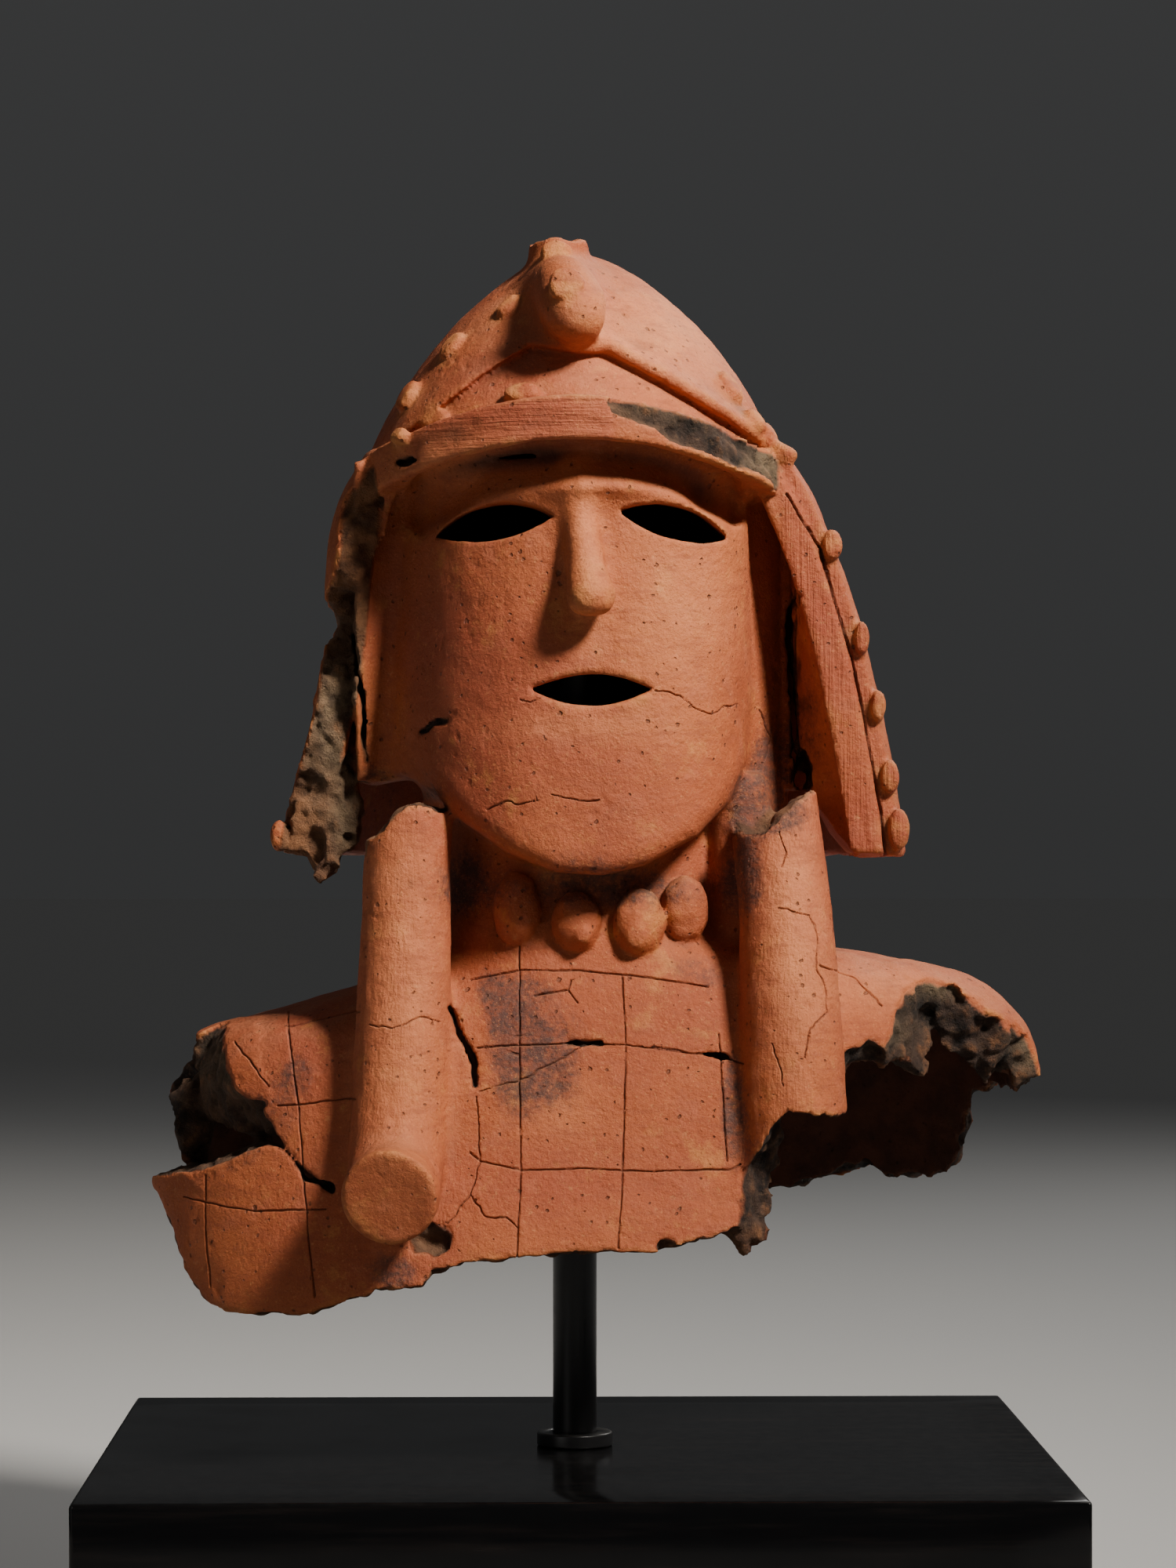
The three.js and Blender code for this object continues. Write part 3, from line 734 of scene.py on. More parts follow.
hair = np.full(SHAPE, FAR, np.float32)
press_on([hair], (-72, -104, 124), (-30, -26, 280), left_hair)
press_on([hair], (40, -84, 124), (86, -18, 286), right_roll)
whole_hair = hair.copy()
cut_away([whole_hair], (-80, -74, 240), (-24, -16, 290), flat_break(LEFT_TOP, 51, 3), 0)
cut_away([whole_hair], (34, -66, 242), (92, -10, 294), flat_break(RIGHT_TOP, 56, 3), 0)
unbroken = soft_join(unbroken, whole_hair, 2.5)
del whole_hair
cut_away([hair], (-76, -70, 240), (-28, -20, 282), flat_break(LEFT_TOP, 51), 0.6)
cut_away([hair], (38, -62, 242), (88, -14, 290), flat_break(RIGHT_TOP, 56), 0.6)
cut_away([hair], (36, -90, 120), (92, -30, 176), flat_break(RIGHT_FOOT, 54), 0.6)
clay = soft_join(clay, hair, 4.5)
del hair
both = [clay, unbroken]
chip((68, -58, 164), (8, 15, 8), 57)
chip((57, -44, 251.5), (6.5, 7, 2.2), 58, 0.4)
print("with the hair rolls:", cm3(clay), "cm3 of clay")


# %% Keel of the helmet with its broken socket
KEEL = [(-1.0, -62, 404.5), (-2, -57.5, 408), (-3.4, -46, 413), (-5, -30, 417), (-5.5, -12, 418.5)]
press_on(both, (-34, -86, 380), (32, 10, 440), roll(KEEL, [8.8, 10, 9.8, 9.2, 8.6]), 9)


def socket(x, y, z):
    wide = np.hypot(x + 5.3, (y + 14) * 0.8) - (9.6 - 0.04 * (z - 420))
    top = z - 431.6 - 1.1 * lumps(x, y, z, 4, 61)
    return soft_keep(wide + 0.5 * lumps(x, y, z, 6, 63), np.maximum(top, 408 - z), 1.2)


def socket_bore(x, y, z):
    return np.maximum(np.hypot(x + 5.3, y + 9) - 5, 424 - z) + 0.4 * lumps(x, y, z, 3, 62)


press_on(both, (-24, -30, 406), (14, 10, 438), socket, 3)
cut_away([clay], (-14, -20, 420), (4, 2, 440), socket_bore, 0.8)
print("with keel and socket:", cm3(clay), "cm3 of clay")


# %% Rivets and beads
def front_skin(x, z):
    """How far forward the clay reaches, seen straight from the front."""
    i, k = (int(round((v - LOW[n]) / CELL)) for v, n in ((x, 0), (z, 2)))
    column = clay[i, :, k]
    j = int(np.argmax(column < 0))
    return LOW[1] + CELL * (j - column[j] / max(column[j - 1] - column[j], 1e-3))


def outward(place):
    """Which way the clay faces at a point: the direction in which its number grows fastest."""
    middle = [int(round((place[n] - LOW[n]) / CELL)) for n in range(3)]
    reach = max(1, int(2 / CELL))
    slopes = []
    for n in range(3):
        ahead, behind = list(middle), list(middle)
        ahead[n] += reach
        behind[n] -= reach
        slopes.append(float(solid_now[tuple(ahead)] - solid_now[tuple(behind)]))
    return Vector(slopes).normalized()


def pat(place, radii, soft, facing=None, power=2.8):
    """One pellet of clay, pressed flat: place, half-widths (across, thick, up), facing."""
    facing = Vector(facing or (0, -1, 0)).normalized()
    side = facing.cross(Vector((0, 0, 1))).normalized()
    top = side.cross(facing)

    def shape(x, y, z):
        dx, dy, dz = x - place[0], y - place[1], z - place[2]
        u = (dx * side.x + dy * side.y + dz * side.z) / radii[0]
        v = (dx * facing.x + dy * facing.y + dz * facing.z) / radii[1]
        w = (dx * top.x + dy * top.y + dz * top.z) / radii[2]
        disc = np.sqrt(u * u + w * w)
        ball = (disc**power + np.abs(v) ** power) ** (1 / power) - 1
        return min(radii) * (ball + 0.06 * lumps(x, y, z, 3, int(place[2])))

    reach = max(radii) + 3
    press_on(both, [p - reach for p in place], [p + reach for p in place], shape, soft)


# %% Rivets on the helmet, each pressed flat
solid_now, rivets = clay.copy(), []
for x, z, across, up in [
    (-6.2, 426.4, 5.0, 3.9), (-3.7, 412.4, 5.2, 5.4), (-20, 409, 3.9, 5.2), (-37, 397.5, 4.3, 5.3),
    (-50.5, 382.5, 4.6, 5.4), (-16.5, 380.5, 5.9, 3.8), (-42, 373.5, 6.6, 3.8), (-52.5, 368, 4, 3),
    (46, 385, 4.6, 5.8), (53.5, 374.5, 4.8, 4.4), (57.5, 371, 4.4, 4.2), (62.2, 365.5, 3.8, 5.2),
]:
    place = (x, front_skin(x, z), z)
    rivets.append(place)
    facing = outward(place) if abs(x) > 8 else (0, -0.96, 0.28)
    place = tuple(np.array(place) + 0.1 * np.array(facing))
    pat(place, (across, 3.0, up), 0.0, facing, 3.6)
del solid_now

# %% Rivets on the guard, and the beads of the necklace
for place, radii in [
    ((77.6, -34, 337.5), (3.2, 4.6, 4.9)), ((86.4, -34, 309), (2.6, 4.6, 5.4)),
    ((91.4, -34, 288.6), (2.5, 4.6, 5.2)), ((95, -34, 267), (2.9, 4.6, 5.2)),
    ((97.6, -35, 251), (3.2, 4.6, 6.2)), ((-91, -16, 249), (2.8, 5, 5)),
]:
    pat(place, radii, 0.2, power=4)
    rivets.append(place)
for place, radii in [
    ((-18.4, -47.6, 227), (7.3, 5.6, 11.2)), ((-0.4, -50.2, 223.5), (7.3, 5.6, 9.2)),
    ((18.6, -48.8, 223), (7.9, 5.8, 10.4)), ((32.6, -42.4, 226.6), (7.4, 5.8, 10.4)),
]:
    pat(place, radii, 0.7, (place[0] / 60, -1, 0), 2.1)
pat((1.5, -55.4, 219.5), (2.6, 2.0, 2.6), 2.5)
pat((17.8, -54.6, 219), (2.8, 1.8, 3.4), 3.0)
print(len(rivets), "rivets;", cm3(clay), "cm3 of clay")

# %% [markdown]
# ## Eyes and mouth
# The eyes and the mouth are leaf-shaped slits that were cut right through the leather-hard wall.
# Their edges are only slightly softened, so the cut keeps a tight rounding.


# %% Leaf-shaped slits
def leaf(middle_x, middle_z, length, above, below, turn):
    c, s = math.cos(turn), math.sin(turn)

    def shape(x, y, z):
        u = (x - middle_x) * c + (z - middle_z) * s
        v = -(x - middle_x) * s + (z - middle_z) * c
        arch = np.clip(1 - np.abs(2 * u / length) ** 2.2, -2, None)
        value = np.maximum(v - above * arch, -v - below * arch)
        return np.maximum(value * 0.9, y + 30) + 0 * y

    low = (middle_x - length / 2 - 3, -92, middle_z - 14)
    high = (middle_x + length / 2 + 3, -28, middle_z + 14)
    cut_away(both, low, high, shape, 0.8)


leaf(-25.0, 341.6, 35.0, 6.2, 4.2, 0.145)
leaf(28.6, 342.0, 34.0, 5.4, 4.4, -0.215)
leaf(4.0, 292.7, 37.0, 4.4, 5.0, 0.0)
print("after the slits:", cm3(clay), "cm3 of clay")

# %% [markdown]
# ## Gaps and fine lines
# Three gaps are wide enough to cut in the block of cells. The stick-drawn lines of the armour and
# the hairline cracks are finer than a cell, so they are only listed here as lines in the front
# view, each with a width and a depth, and pressed into the finished skin later.


# %% Gaps that go deep into the wall
def gap(points, width, depth, low_y=-90, high_y=-20, seed=70):
    pts = np.array(points, float)
    low = (pts[:, 0].min() - 3, low_y, pts[:, 1].min() - 3)
    high = (pts[:, 0].max() + 3, high_y, pts[:, 1].max() + 3)
    where, x, y, z = corner_of_block(low, high)
    flat_x, flat_z = x[:, 0, :], z[:, 0, :]
    shift = 0.8 * lumps(flat_x, 0 * flat_x, flat_z, 4, seed)
    away = line_distance([tuple(p) for p in pts], flat_x + shift, flat_z)[:, None, :]
    groove = np.maximum(away - width / 2, -(unbroken[where] + depth))
    clay[where] = soft_keep(clay[where], -groove, 0.6)


gap([(-38.5, 198), (-35, 190), (-32.5, 186), (-30.5, 181), (-30, 175)], 1.9, 5.0, seed=70)
gap([(-3, 187.3), (2, 187.6), (7, 187.4)], 1.5, 2.6, seed=71)
gap([(38, 184.2), (44, 183.2)], 1.6, 2.8, seed=72)
gap([(67.5, 322), (66, 318.5), (66.2, 301), (67.3, 284), (68.2, 270)], 1.5, 9.0, high_y=0, seed=73)
gap([(-68.5, 311), (-66.5, 300), (-64.6, 288), (-64.2, 272)], 1.1, 6.0, high_y=0, seed=74)
gap([(-47.5, 280.5), (-45, 281.4), (-43.4, 283.2), (-39, 283.6)], 1.5, 1.8, high_y=-10, seed=75)
print("after six gaps:", cm3(clay), "cm3 of clay")

# %% Fine lines: points, width, depth
STICK = [
    [(-32, 206), (-17, 209), (0, 209), (16, 207.5), (39, 204)],
    [(-30, 186), (-17.5, 187), (-3, 187.5), (14, 187), (42, 183.5), (49, 181.5)],
    [(-32, 155.5), (-29, 153), (-16.5, 150.5), (2, 151), (22, 150), (45, 150.5), (48, 152)],
    [(-17.5, 216), (-17.5, 178), (-17, 150.5), (-18.5, 121)],
    [(13.3, 207.5), (14.3, 187), (13.5, 169.5), (13, 150), (11.5, 128)],
    [(42, 190), (44, 153)], [(-87, 191.5), (-65, 197)], [(-90, 168.5), (-82, 169), (-66, 171.5)],
    [(-119, 140), (-106, 138), (-97, 137), (-75, 138.5)],
    [(-88, 197), (-86, 183), (-83.5, 168.5), (-82.5, 156), (-81.5, 144), (-80.5, 134), (-78, 113)],
    [(-112, 147), (-112, 131), (-110, 114)], [(-67, 171), (-68, 161.5)],
    [(-13, 201.5), (-8, 202.4), (-3, 203), (-2.4, 204.8), (-2, 206)], [(-3, 203), (0, 199.5)],
]
CRACKS = [
    [(-30, 173.5), (-25, 175), (-15, 177.5), (-7, 182), (0.5, 186.5), (6.5, 187.5)],
    [(14, 187), (28, 185.6), (40, 183.8)],
    [(-30.5, 172), (-30, 165.5), (-29, 152.5), (-32, 143.5), (-39, 135)],
    [(-32, 143.5), (-27.5, 137), (-21, 137), (-17.5, 134)],
    [(-62, 193), (-55.5, 192), (-47, 195.5), (-41, 194)],
    [(59.5, 227.5), (68.5, 225.5), (71, 219), (70.6, 209.5), (72.8, 205), (73.2, 196.5),
     (68.5, 192.5), (66.5, 184)],
    [(56.5, 188), (59, 182), (60.5, 176)], [(60, 251), (62, 244), (60.5, 240)],
    [(22.5, 292.5), (27, 292), (31, 290.5), (36, 287), (40, 285.5), (44, 287.5), (48.5, 288.5)],
    [(-27, 257), (-22, 259.5), (-18, 258.5), (-12, 260)], [(-18, 289), (-14, 288.4), (-11, 289.5)],
    [(-104, 187), (-98, 180), (-92, 174)], [(72, 211), (84, 206), (92, 198)],
    [(56, 288), (60, 280), (58, 272)], [(-8, 262), (0, 259.5), (6, 260)],
]
EDGE_GROOVE = [(63.6, 352.8), (73.8, 336.4), (78.1, 320.8), (83.3, 303.7), (85.9, 291.6),
               (89.5, 271.7), (92.1, 257), (93.8, 243)]
fine_lines = [(line, 0.85, 0.8) for line in STICK] + [(line, 0.6, 0.8) for line in CRACKS]
fine_lines.append((EDGE_GROOVE, 1.3, 1.5))
print("clay now:", cm3(clay), "cm3;", len(fine_lines), "fine lines")

# %% [markdown]
# ## A skin over the clay
# The surface where the distance is zero is drawn as four-sided faces. Then every point moves a
# little along its normal: hand-made waves on the skin, coarse grain on the broken core, and combed
# strokes where a split stick was dragged over the wet clay.

# %% Draw the surface
grid = openvdb.FloatGrid()
grid.copyFromArray(np.clip(clay, -3 * CELL, 3 * CELL))
points, triangles, quads = grid.convertToPolygons(isovalue=0.0, adaptivity=0.0)
points = points * CELL + LOW
print("surface:", len(points), "points,", len(quads), "quads,", len(triangles), "triangles")


# %% Look up a block's number at points between its cells
def sample(field, where):
    spot = (where - LOW) / CELL
    base = np.clip(np.floor(spot).astype(int), 0, np.array(field.shape) - 2)
    part = np.clip(spot - base, 0, 1)
    total = 0.0
    for a in (0, 1):
        for b in (0, 1):
            for c in (0, 1):
                share = np.ones(len(where))
                for axis, side in enumerate((a, b, c)):
                    share = share * (part[:, axis] if side else 1 - part[:, axis])
                total = total + share * field[base[:, 0] + a, base[:, 1] + b, base[:, 2] + c]
    return total


def wide_average(field, reach):
    """Each cell's average with its neighbours, which shows where the surface is a ridge."""
    for axis in range(3):
        total = np.zeros_like(field)
        for shift in range(-reach, reach + 1):
            total += np.roll(field, shift, axis)
        field = total / (2 * reach + 1)
    return field


ridges = wide_average(np.clip(clay, -6, 6), max(1, int(2 / CELL)))


# %% Masks that the shape and the material share
def broken_at(p):
    under_skin = between(0.5, 1.3, -sample(unbroken, p))
    arm_wall = between(10.4, 11.6, -sample(solid, p)) * between(222, 214, p[:, 2])
    return np.maximum(under_skin, arm_wall)


def blob(p, x, z, wide, high):
    return np.exp(-(((p[:, 0] - x) / wide) ** 2) - ((p[:, 2] - z) / high) ** 2)


def front_of(p, y=-20.0):
    return between(y + 6, y - 6, p[:, 1])


def strokes_up_at(p):
    guard_face = between(60, 64, p[:, 0]) * between(-33, -36, p[:, 1]) * between(242, 246, p[:, 2])
    rolls = between(-96, -88, p[:, 1]) * front_of(p, -46) * between(262, 255, p[:, 2])
    left, right = (between(20, 14, np.abs(p[:, 0] - middle)) for middle in (-52, 64))
    rolls = rolls * np.maximum(left, right)
    return np.maximum(guard_face, 0.45 * rolls)


def strokes_across_at(p):
    band = BRIM_Z - 17 * (p[:, 0] / 65.5) ** 2
    unbroken_part = between(-52, -62, p[:, 1]) * between(12, 8, p[:, 0])
    return between(9, 7, np.abs(p[:, 2] - band)) * unbroken_part


# %% Move the points
def skin_normals(p):
    step = 0.75 * CELL
    slopes = []
    for axis in range(3):
        shift = np.zeros(3)
        shift[axis] = step
        slopes.append(sample(clay, p + shift) - sample(clay, p - shift))
    normal = np.stack(slopes, 1)
    return normal / np.maximum(np.linalg.norm(normal, axis=1, keepdims=True), 1e-6)


def pnoise(p, size, seed):
    return lumps(p[:, 0], p[:, 1], p[:, 2], size, seed)


broken = broken_at(points)
normals = skin_normals(points)
waves = 0.36 * pnoise(points, 17, 81) + 0.20 * pnoise(points, 7, 82) + 0.10 * pnoise(points, 3, 80)
grain = 1.6 * np.abs(pnoise(points, 5.3, 83)) + 0.5 * pnoise(points, 2.7, 84) - 0.6
px, py, pz = points.T
combed_up = strokes_up_at(points) * lumps(px + 0.26 * pz, py, pz / 30, 1.9, 85)
combed_across = strokes_across_at(points) * lumps(px / 24, 0 * py, pz + 0.0039 * px**2, 1.7, 86)
pits = np.minimum(pnoise(points, 2.2, 87) + 0.62, 0) * 1.1
move = (1 - broken) * (waves + pits + 0.24 * combed_up + 0.34 * combed_across) + broken * grain
points = points + normals * move[:, None]
print("points moved by up to", round(float(np.abs(move).max()), 2), "mm")

# %% Thin the skin where it is flat, so that it stays light to render
skin = bpy.data.meshes.new("clay_skin")
corner_list = np.concatenate([quads.ravel(), triangles.ravel()]).astype(np.int32)
sizes = np.concatenate([np.full(len(quads), 4), np.full(len(triangles), 3)]).astype(np.int32)
skin.vertices.add(len(points))
skin.vertices.foreach_set("co", (points * MM).astype(np.float32).ravel())
skin.loops.add(len(corner_list))
skin.loops.foreach_set("vertex_index", corner_list)
skin.polygons.add(len(sizes))
skin.polygons.foreach_set("loop_start", (np.cumsum(sizes) - sizes).astype(np.int32))
skin.update(calc_edges=True)
skin.validate()
block_of_clay = bpy.data.objects.new("clay_skin", skin)
bpy.context.scene.collection.objects.link(block_of_clay)
MOST_FACES = 540000
thin = block_of_clay.modifiers.new("thin", "DECIMATE")
thin.ratio = min(1.0, MOST_FACES / (2 * len(quads) + len(triangles)))
depsgraph = bpy.context.evaluated_depsgraph_get()
thinned = bpy.data.meshes.new_from_object(block_of_clay.evaluated_get(depsgraph))
bpy.data.objects.remove(block_of_clay)
print("thinned to", len(thinned.polygons), "faces")

# %% Read the thinned skin back and check which way it faces
count = len(thinned.vertices)
spots = np.empty(count * 3, np.float32)
thinned.vertices.foreach_get("co", spots)
spots = spots.reshape(-1, 3) / MM
thinned.calc_loop_triangles()
faces = np.empty(len(thinned.loop_triangles) * 3, np.int32)
thinned.loop_triangles.foreach_get("vertices", faces)
faces = faces.reshape(-1, 3)
a, b, c = (spots[faces[:, i]].astype(float) for i in range(3))
volume = np.einsum("ij,ij->i", a, np.cross(b, c)).sum() / 6
if volume < 0:
    faces = faces[:, ::-1]
    a, c = c, a
print("clay volume:", round(abs(volume) / 1000), "cm3")

# %% [markdown]
# ## Pressing the fine lines
# Only the faces beside a line are cut smaller, three times over, until they are about 0.4 mm
# wide. Their points then sink along the line, deepest in its middle.


# %% Smaller faces beside the lines
def split_edges(spots, faces, near, longest):
    pairs = np.concatenate([faces[:, [0, 1]], faces[:, [1, 2]], faces[:, [2, 0]]])
    pairs = np.sort(pairs, axis=1).astype(np.int64)
    keys, which = np.unique(pairs[:, 0] * len(spots) + pairs[:, 1], return_inverse=True)
    one, other = keys // len(spots), keys % len(spots)
    middle = (spots[one] + spots[other]) / 2
    chosen = np.linalg.norm(spots[one] - spots[other], axis=1) > longest
    chosen[chosen] = near(middle[chosen])
    new = np.where(chosen, len(spots) + np.cumsum(chosen) - 1, -1)
    cut = new[which.reshape(3, -1).T]
    number = (cut >= 0).sum(1)
    turn = np.where(number == 1, np.argmax(cut >= 0, 1), (np.argmin(cut >= 0, 1) + 1) % 3)
    order = (turn[:, None] + np.arange(3)) % 3
    v = np.take_along_axis(faces.astype(np.int64), order, 1)
    m = np.take_along_axis(cut, order, 1)
    made = [v[number == 0]]
    for amount, corners in (
        (1, ["v0 m0 v2", "m0 v1 v2"]), (2, ["m0 v1 m1", "v0 m0 m1", "v0 m1 v2"]),
        (3, ["v0 m0 m2", "m0 v1 m1", "m2 m1 v2", "m0 m1 m2"]),
    ):
        rows = number == amount
        source = {"v": v[rows], "m": m[rows]}
        for text in corners:
            made.append(np.stack([source[w[0]][:, int(w[1])] for w in text.split()], 1))
    return np.concatenate([spots, middle[chosen]]), np.concatenate(made)


def groove_at(p, reach=None):
    """How deep each point should sink; or, with a reach, whether a line is that near."""
    flat = p * [1, 0, 1]
    shift_x = 0.5 * pnoise(flat, 5, 77) + 0.3 * pnoise(flat, 1.8, 78)
    shift_z = 0.5 * pnoise(flat, 5, 79) + 0.3 * pnoise(flat, 1.8, 76)
    result = np.zeros(len(p))
    for line, width, depth in fine_lines:
        span = np.array(line)
        low, high = span.min(0) - 4, span.max(0) + 4
        box = (p[:, 0] > low[0]) & (p[:, 0] < high[0]) & (p[:, 2] > low[1]) & (p[:, 2] < high[1])
        box &= p[:, 1] < (-20 if low[1] < 236 else -6)
        wobble = 1.2 if width < 0.7 else 0.35
        x, z = p[box, 0] + wobble * shift_x[box], p[box, 2] + wobble * shift_z[box]
        away = line_distance(line, x, z)
        thin = width * (0.8 + 0.35 * lumps(x, 0, z, 6, 75))
        if reach:
            result[box] = np.maximum(result[box], away < reach)
        else:
            result[box] = np.maximum(result[box], depth * np.clip(1.25 - 2.5 * away / thin, 0, 1))
    return result > 0 if reach else result


spots = spots.astype(float)
for reach, longest in ((1.6, 0.6), (1.1, 0.45), (0.9, 0.4)):
    spots, faces = split_edges(spots, faces, lambda p: groove_at(p, reach), longest)
    print("faces after cutting smaller:", len(faces))


def point_normals(spots, faces):
    a, b, c = (spots[faces[:, i]] for i in range(3))
    face_normals = np.cross(b - a, c - a)
    total = np.zeros((len(spots), 3))
    for i in range(3):
        for k in range(3):
            total[:, k] += np.bincount(faces[:, i], face_normals[:, k], len(spots))
    return total / np.maximum(np.linalg.norm(total, axis=1, keepdims=True), 1e-9)


rest = spots.copy()
outer = between(2.5, 1.5, np.abs(sample(unbroken, rest)))
sunk = groove_at(rest) * outer
spots = spots - point_normals(spots, faces) * sunk[:, None]
smooth = point_normals(spots, faces)
print("points on a line:", int((sunk > 0).sum()), "deepest in mm:", round(float(sunk.max()), 2))

# %% Masks for the finish
# Smoke clouds from the firing, and painted shade: the places under the brim, on the neck under the
# chin and in the corner between the face and the right guard are darkened as shade.
smoke_and_shade_places = [
    (-8, 178, 13, 16, 0.9), (-14, 205, 8, 6, 0.6), (-22, 192, 6, 12, 0.7), (-27, 204, 5, 7, 0.8),
    (30, 210, 9, 5, 0.6), (60, 268, 8, 12, 1.1), (52, 262, 6, 6, 0.9), (40, 206, 8, 8, 0.7),
    (-104, 160, 14, 16, 0.9), (-33, 150, 6, 12, 0.5), (8, 158, 10, 8, 0.35), (46, 160, 6, 14, 0.9),
    (-70, 128, 10, 14, 0.5), (58, 155, 8, 10, 0.7), (-60, 300, 8, 8, 0.4), (-46, 262, 10, 4, 0.9),
    (-54, 121, 8, 6, 1.3), (46, 176, 4, 12, 0.9), (-85, 178, 8, 8, 0.4), (-62, 160, 5, 16, 0.5),
    (60, 190, 6, 14, 0.3), (0, 234, 42, 9, 0.7), (2, 244, 26, 5, 0.3), (-62, 268, 8, 4, 0.9),
    (58, 254, 10, 5, 1.0), (50, 240, 7, 22, 0.9), (-34, 235, 9, 18, 0.8), (-34, 357, 22, 5, 0.6),
    (-5, 196, 16, 12, 0.35), (-20, 168, 8, 14, 0.4), (14, 256, 26, 9, 0.55),
    (-84, 172, 12, 20, 0.5), (-100, 128, 16, 12, 0.5), (-56, 225, 10, 24, 0.35),
    (58, 300, 5, 30, 0.6), (70, 284, 9, 30, 0.8), (-18, 186, 12, 16, 0.6), (20, 232, 30, 8, 0.5),
]
smoke_and_shade = sum(s * blob(rest, x, z, w, h) for x, z, w, h, s in smoke_and_shade_places) * front_of(rest, 10)
smoke_and_shade = smoke_and_shade + 0.6 * between(0.1, 0.8, pnoise(rest, 60, 91)) * (1 - front_of(rest, 10))
inside = between(5, 8, -sample(solid, rest))
slip = between(-0.2, 0.7, pnoise(rest, 34, 92)) * 0.55 + 0.9 * strokes_across_at(rest)
slip = slip + 0.45 * strokes_up_at(rest) + blob(rest, 0, 388, 40, 8) + blob(rest, -78, 190, 20, 22)
slip = slip + 0.5 * blob(rest, -20, 270, 34, 22) + 0.5 * blob(rest, -40, 300, 16, 40)
slip = slip + 0.6 * blob(rest, 62, 215, 8, 30) + 0.7 * blob(rest, -10, 145, 40, 14)
ridge = sample(ridges, rest)
light_core = 1.3 * blob(rest, 60, 360, 9, 9) + 0.3 * blob(rest, 30, 376, 40, 6)
light_core = light_core + 1.2 * blob(rest, -74, 284, 10, 24) + 0.9 * blob(rest, -70, 252, 5, 14)
baked = between(-50, -56, rest[:, 0]) * between(232, 236, rest[:, 2])
baked = baked + between(56, 64, rest[:, 0]) * between(300, 320, rest[:, 2])
baked = baked + 0.3 * blob(rest, -108, 166, 12, 24) + 0.7 * blob(rest, -55, 253, 20, 8)
baked = baked + 0.7 * blob(rest, 64, 256, 20, 10)
baked = baked + 0.5 * blob(rest, 8, 372, 8, 10) + 0.5 * between(136, 130, rest[:, 2])
pellets = sum(np.exp(-((rest - place) ** 2).sum(1) / 30) for place in rivets)
light_core = light_core + blob(rest, 88, 191, 12, 5) + blob(rest, 118, 204, 22, 4)
light_core = light_core + blob(rest, 141, 186, 6, 10) + 0.6 * blob(rest, -108, 178, 10, 8)
# Paler clay in the listed places, partly the clay's own tone and partly painted light where the
# lamp falls strongest: the top right of the dome, the right cheek, the ridge of the nose and the
# hair rolls.
pale_and_painted_light = blob(rest, 24, 400, 26, 22) + 0.7 * blob(rest, -53, 200, 14, 56) + blob(rest, 64, 222, 9, 40)
pale_and_painted_light = pale_and_painted_light + 0.6 * blob(rest, 30, 318, 22, 26) + 0.7 * blob(rest, 2, 335, 5, 26)
pale_and_painted_light = pale_and_painted_light + 0.7 * blob(rest, -40, 360, 26, 8) + 0.6 * blob(rest, 92, 204, 22, 8)
pale_and_painted_light = pale_and_painted_light + 0.4 * blob(rest, -6, 168, 12, 10) + 0.5 * blob(rest, 4, 282, 26, 5)
masks = {
    "broken": broken_at(rest),
    "smoke_and_shade": np.clip(smoke_and_shade, 0, 1),
    "slip": np.clip(slip, 0, 1),
    "worn": between(0.25, 1.1, ridge),
    "hollow": between(0.15, 0.9, -ridge),
    "inside": inside,
    "crack": np.clip(sunk / 0.8, 0, 1),
    "pale_and_painted_light": np.clip(pale_and_painted_light, 0, 1) * front_of(rest, 10),
    "strokes_up": strokes_up_at(rest),
    "strokes_across": strokes_across_at(rest),
    "ashen": np.clip(light_core, 0, 1) * front_of(rest, 0),
    "baked": np.clip(baked, 0, 1),
    "pellets": np.clip(pellets, 0, 1),
}
for name, values in masks.items():
    print("mask", name, "average", round(float(values.mean()), 3))

# %% [markdown]
# ## Pieces
# One skin with about 750,000 faces is split at three heights, so that no piece is too heavy. The
# points along the cuts and their normals are shared, so the joints don't show.


# %% Split the skin
def clay_piece(name, chosen):
    used, renamed = np.unique(faces[chosen], return_inverse=True)
    renamed = renamed.reshape(-1, 3).astype(np.int32)
    mesh = bpy.data.meshes.new(name)
    mesh.vertices.add(len(used))
    mesh.vertices.foreach_set("co", (spots[used] * MM).astype(np.float32).ravel())
    mesh.loops.add(renamed.size)
    mesh.loops.foreach_set("vertex_index", renamed.ravel())
    mesh.polygons.add(len(renamed))
    mesh.polygons.foreach_set("loop_start", np.arange(0, renamed.size, 3, dtype=np.int32))
    mesh.update(calc_edges=True)
    mesh.shade_smooth()
    mesh.normals_split_custom_set_from_vertices(smooth[used].astype(np.float32))
    for mask, values in masks.items():
        layer = mesh.attributes.new(mask, "FLOAT", "POINT")
        layer.data.foreach_set("value", values[used].astype(np.float32))
    piece = bpy.data.objects.new(name, mesh)
    bpy.context.scene.collection.objects.link(piece)
    print(name, len(renamed), "triangles")
    return piece


height = (spots[faces[:, 0], 2] + spots[faces[:, 1], 2] + spots[faces[:, 2], 2]) / 3
cuts = np.quantile(height, [0.25, 0.5, 0.75])
levels = np.searchsorted(cuts, height)
piece_names = ["clay_body", "clay_shoulders", "clay_head", "clay_helmet"]
clay_pieces = [clay_piece(name, levels == i) for i, name in enumerate(piece_names)]

# %% [markdown]
# ## Finishes
# Node helpers keep the recipes short. Every effect that two finishes share is a node group.


